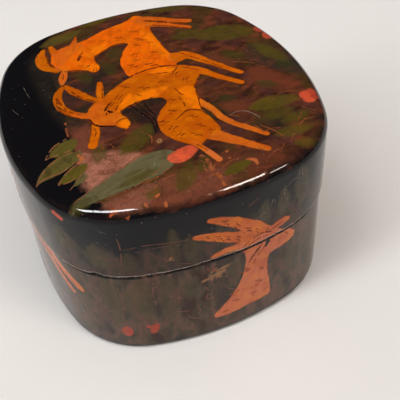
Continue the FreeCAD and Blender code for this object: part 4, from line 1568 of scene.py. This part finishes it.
def make_camera():
    """The photograph's camera: its place, its turn and the part of its picture that was kept."""
    cos_e, sin_e = math.cos(CAMERA_ELEVATION), math.sin(CAMERA_ELEVATION)
    back = Vector((math.sin(CAMERA_AZIMUTH) * cos_e, -math.cos(CAMERA_AZIMUTH) * cos_e, sin_e))
    right = Vector((math.cos(CAMERA_AZIMUTH), math.sin(CAMERA_AZIMUTH), 0))
    up = back.cross(right)
    place = (back * CAMERA_DISTANCE + right * CAMERA_ASIDE + up * CAMERA_RAISED) * MM
    rolled_right = right * math.cos(CAMERA_ROLL) + up * math.sin(CAMERA_ROLL)
    rolled_up = up * math.cos(CAMERA_ROLL) - right * math.sin(CAMERA_ROLL)
    data = bpy.data.cameras.new("photo_camera")
    data.sensor_width = SENSOR
    data.lens = FOCAL_PIXELS * SENSOR / PHOTO
    data.shift_x = (PHOTO / 2 - PHOTO_CENTRE[0]) / PHOTO
    data.shift_y = (PHOTO_CENTRE[1] - PHOTO / 2) / PHOTO
    data.clip_start = 0.01
    camera = bpy.data.objects.new("photo_camera", data)
    turn = Matrix((rolled_right, rolled_up, back)).transposed().to_4x4()
    camera.matrix_world = Matrix.Translation(place) @ turn
    bpy.context.collection.objects.link(camera)
    bpy.context.scene.camera = camera


def panel_light(name, towards, size, radiance, colour, along=(0, 0, 1), far=2.0):
    """A soft panel in a direction from the box, of an angular size, its long side laid along a direction."""
    back = Vector(towards).normalized()
    across = Vector(along).cross(back).normalized()
    up = back.cross(across)
    width, height = (2 * far * math.tan(math.radians(degrees) / 2) for degrees in size)
    data = bpy.data.lights.new(name, "AREA")
    data.shape = "RECTANGLE"
    data.size, data.size_y = width, height
    data.energy = radiance * math.pi * width * height
    data.color = colour
    lamp = bpy.data.objects.new(name, data)
    lamp.matrix_world = Matrix.Translation(back * far) @ Matrix((across, up, back)).transposed().to_4x4()
    bpy.context.collection.objects.link(lamp)
    return lamp


def make_lights():
    """A cool window high on the left, a smaller warm one on the right and a pale ceiling.

    Broad panels light the surfaces, and three bright narrow ones show only as reflections in the lacquer.
    """
    cool, warm = (0.96, 0.98, 1.0), (1.0, 0.86, 0.77)
    left, right = (-0.7, -0.12, 0.7), (0.5, -0.62, 0.6)
    for panel in (
        panel_light("window", left, (12, 56), 10.1, cool, (0.7, 0, 0.7)),
        panel_light("lamp", right, (20, 13), 15.5, warm),
        panel_light("ceiling", (-0.05, -0.1, 1), (52, 52), 2.1, (1.0, 0.96, 0.92)),
    ):
        panel.visible_glossy = False
    cream, near = (1.0, 0.89, 0.79), 1.7
    for shine in (
        panel_light("window_shine", (-0.44, -0.282, 0.859), (11, 40), 66, cool, (0.88, -0.2, 0.41), near),
        panel_light("lamp_shine", (0.395, -0.52, 0.755), (11, 14), 72, cream, (0.904, 0.319, -0.285), near),
        panel_light("bulb_shine", (0.55, -0.583, 0.6), (3.6, 6), 66, cream, (0.76, 0.4, -0.51), 0.36),
    ):
        shine.visible_diffuse = False
        shine.visible_camera = False
    world = bpy.data.worlds.new("studio")
    world.use_nodes = True
    world.node_tree.nodes["Background"].inputs["Color"].default_value = (*ROOM_GREY, 1)
    bpy.context.scene.world = world
    bpy.context.scene.view_settings.view_transform = "Standard"


lacquer, sawn_board = lacquer_material(), sawn_material()
lid = painted_skin("lid_lacquer_skin", *lid_skin(), "lid", "lid_wall", "lid_top")
base = painted_skin("base_lacquer_skin", *base_skin(), "base", "base_wall", "base_floor")
for piece, slot_name in ((lid, "lid_lacquer"), (base, "base_lacquer")):
    piece.data.materials.append(lacquer)
    piece.data.materials.append(sawn_board)
line_work(lid)
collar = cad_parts["base_collar"]
collar.data.materials.clear()
collar.data.materials.append(black_material())

make_table()
make_camera()
make_lights()
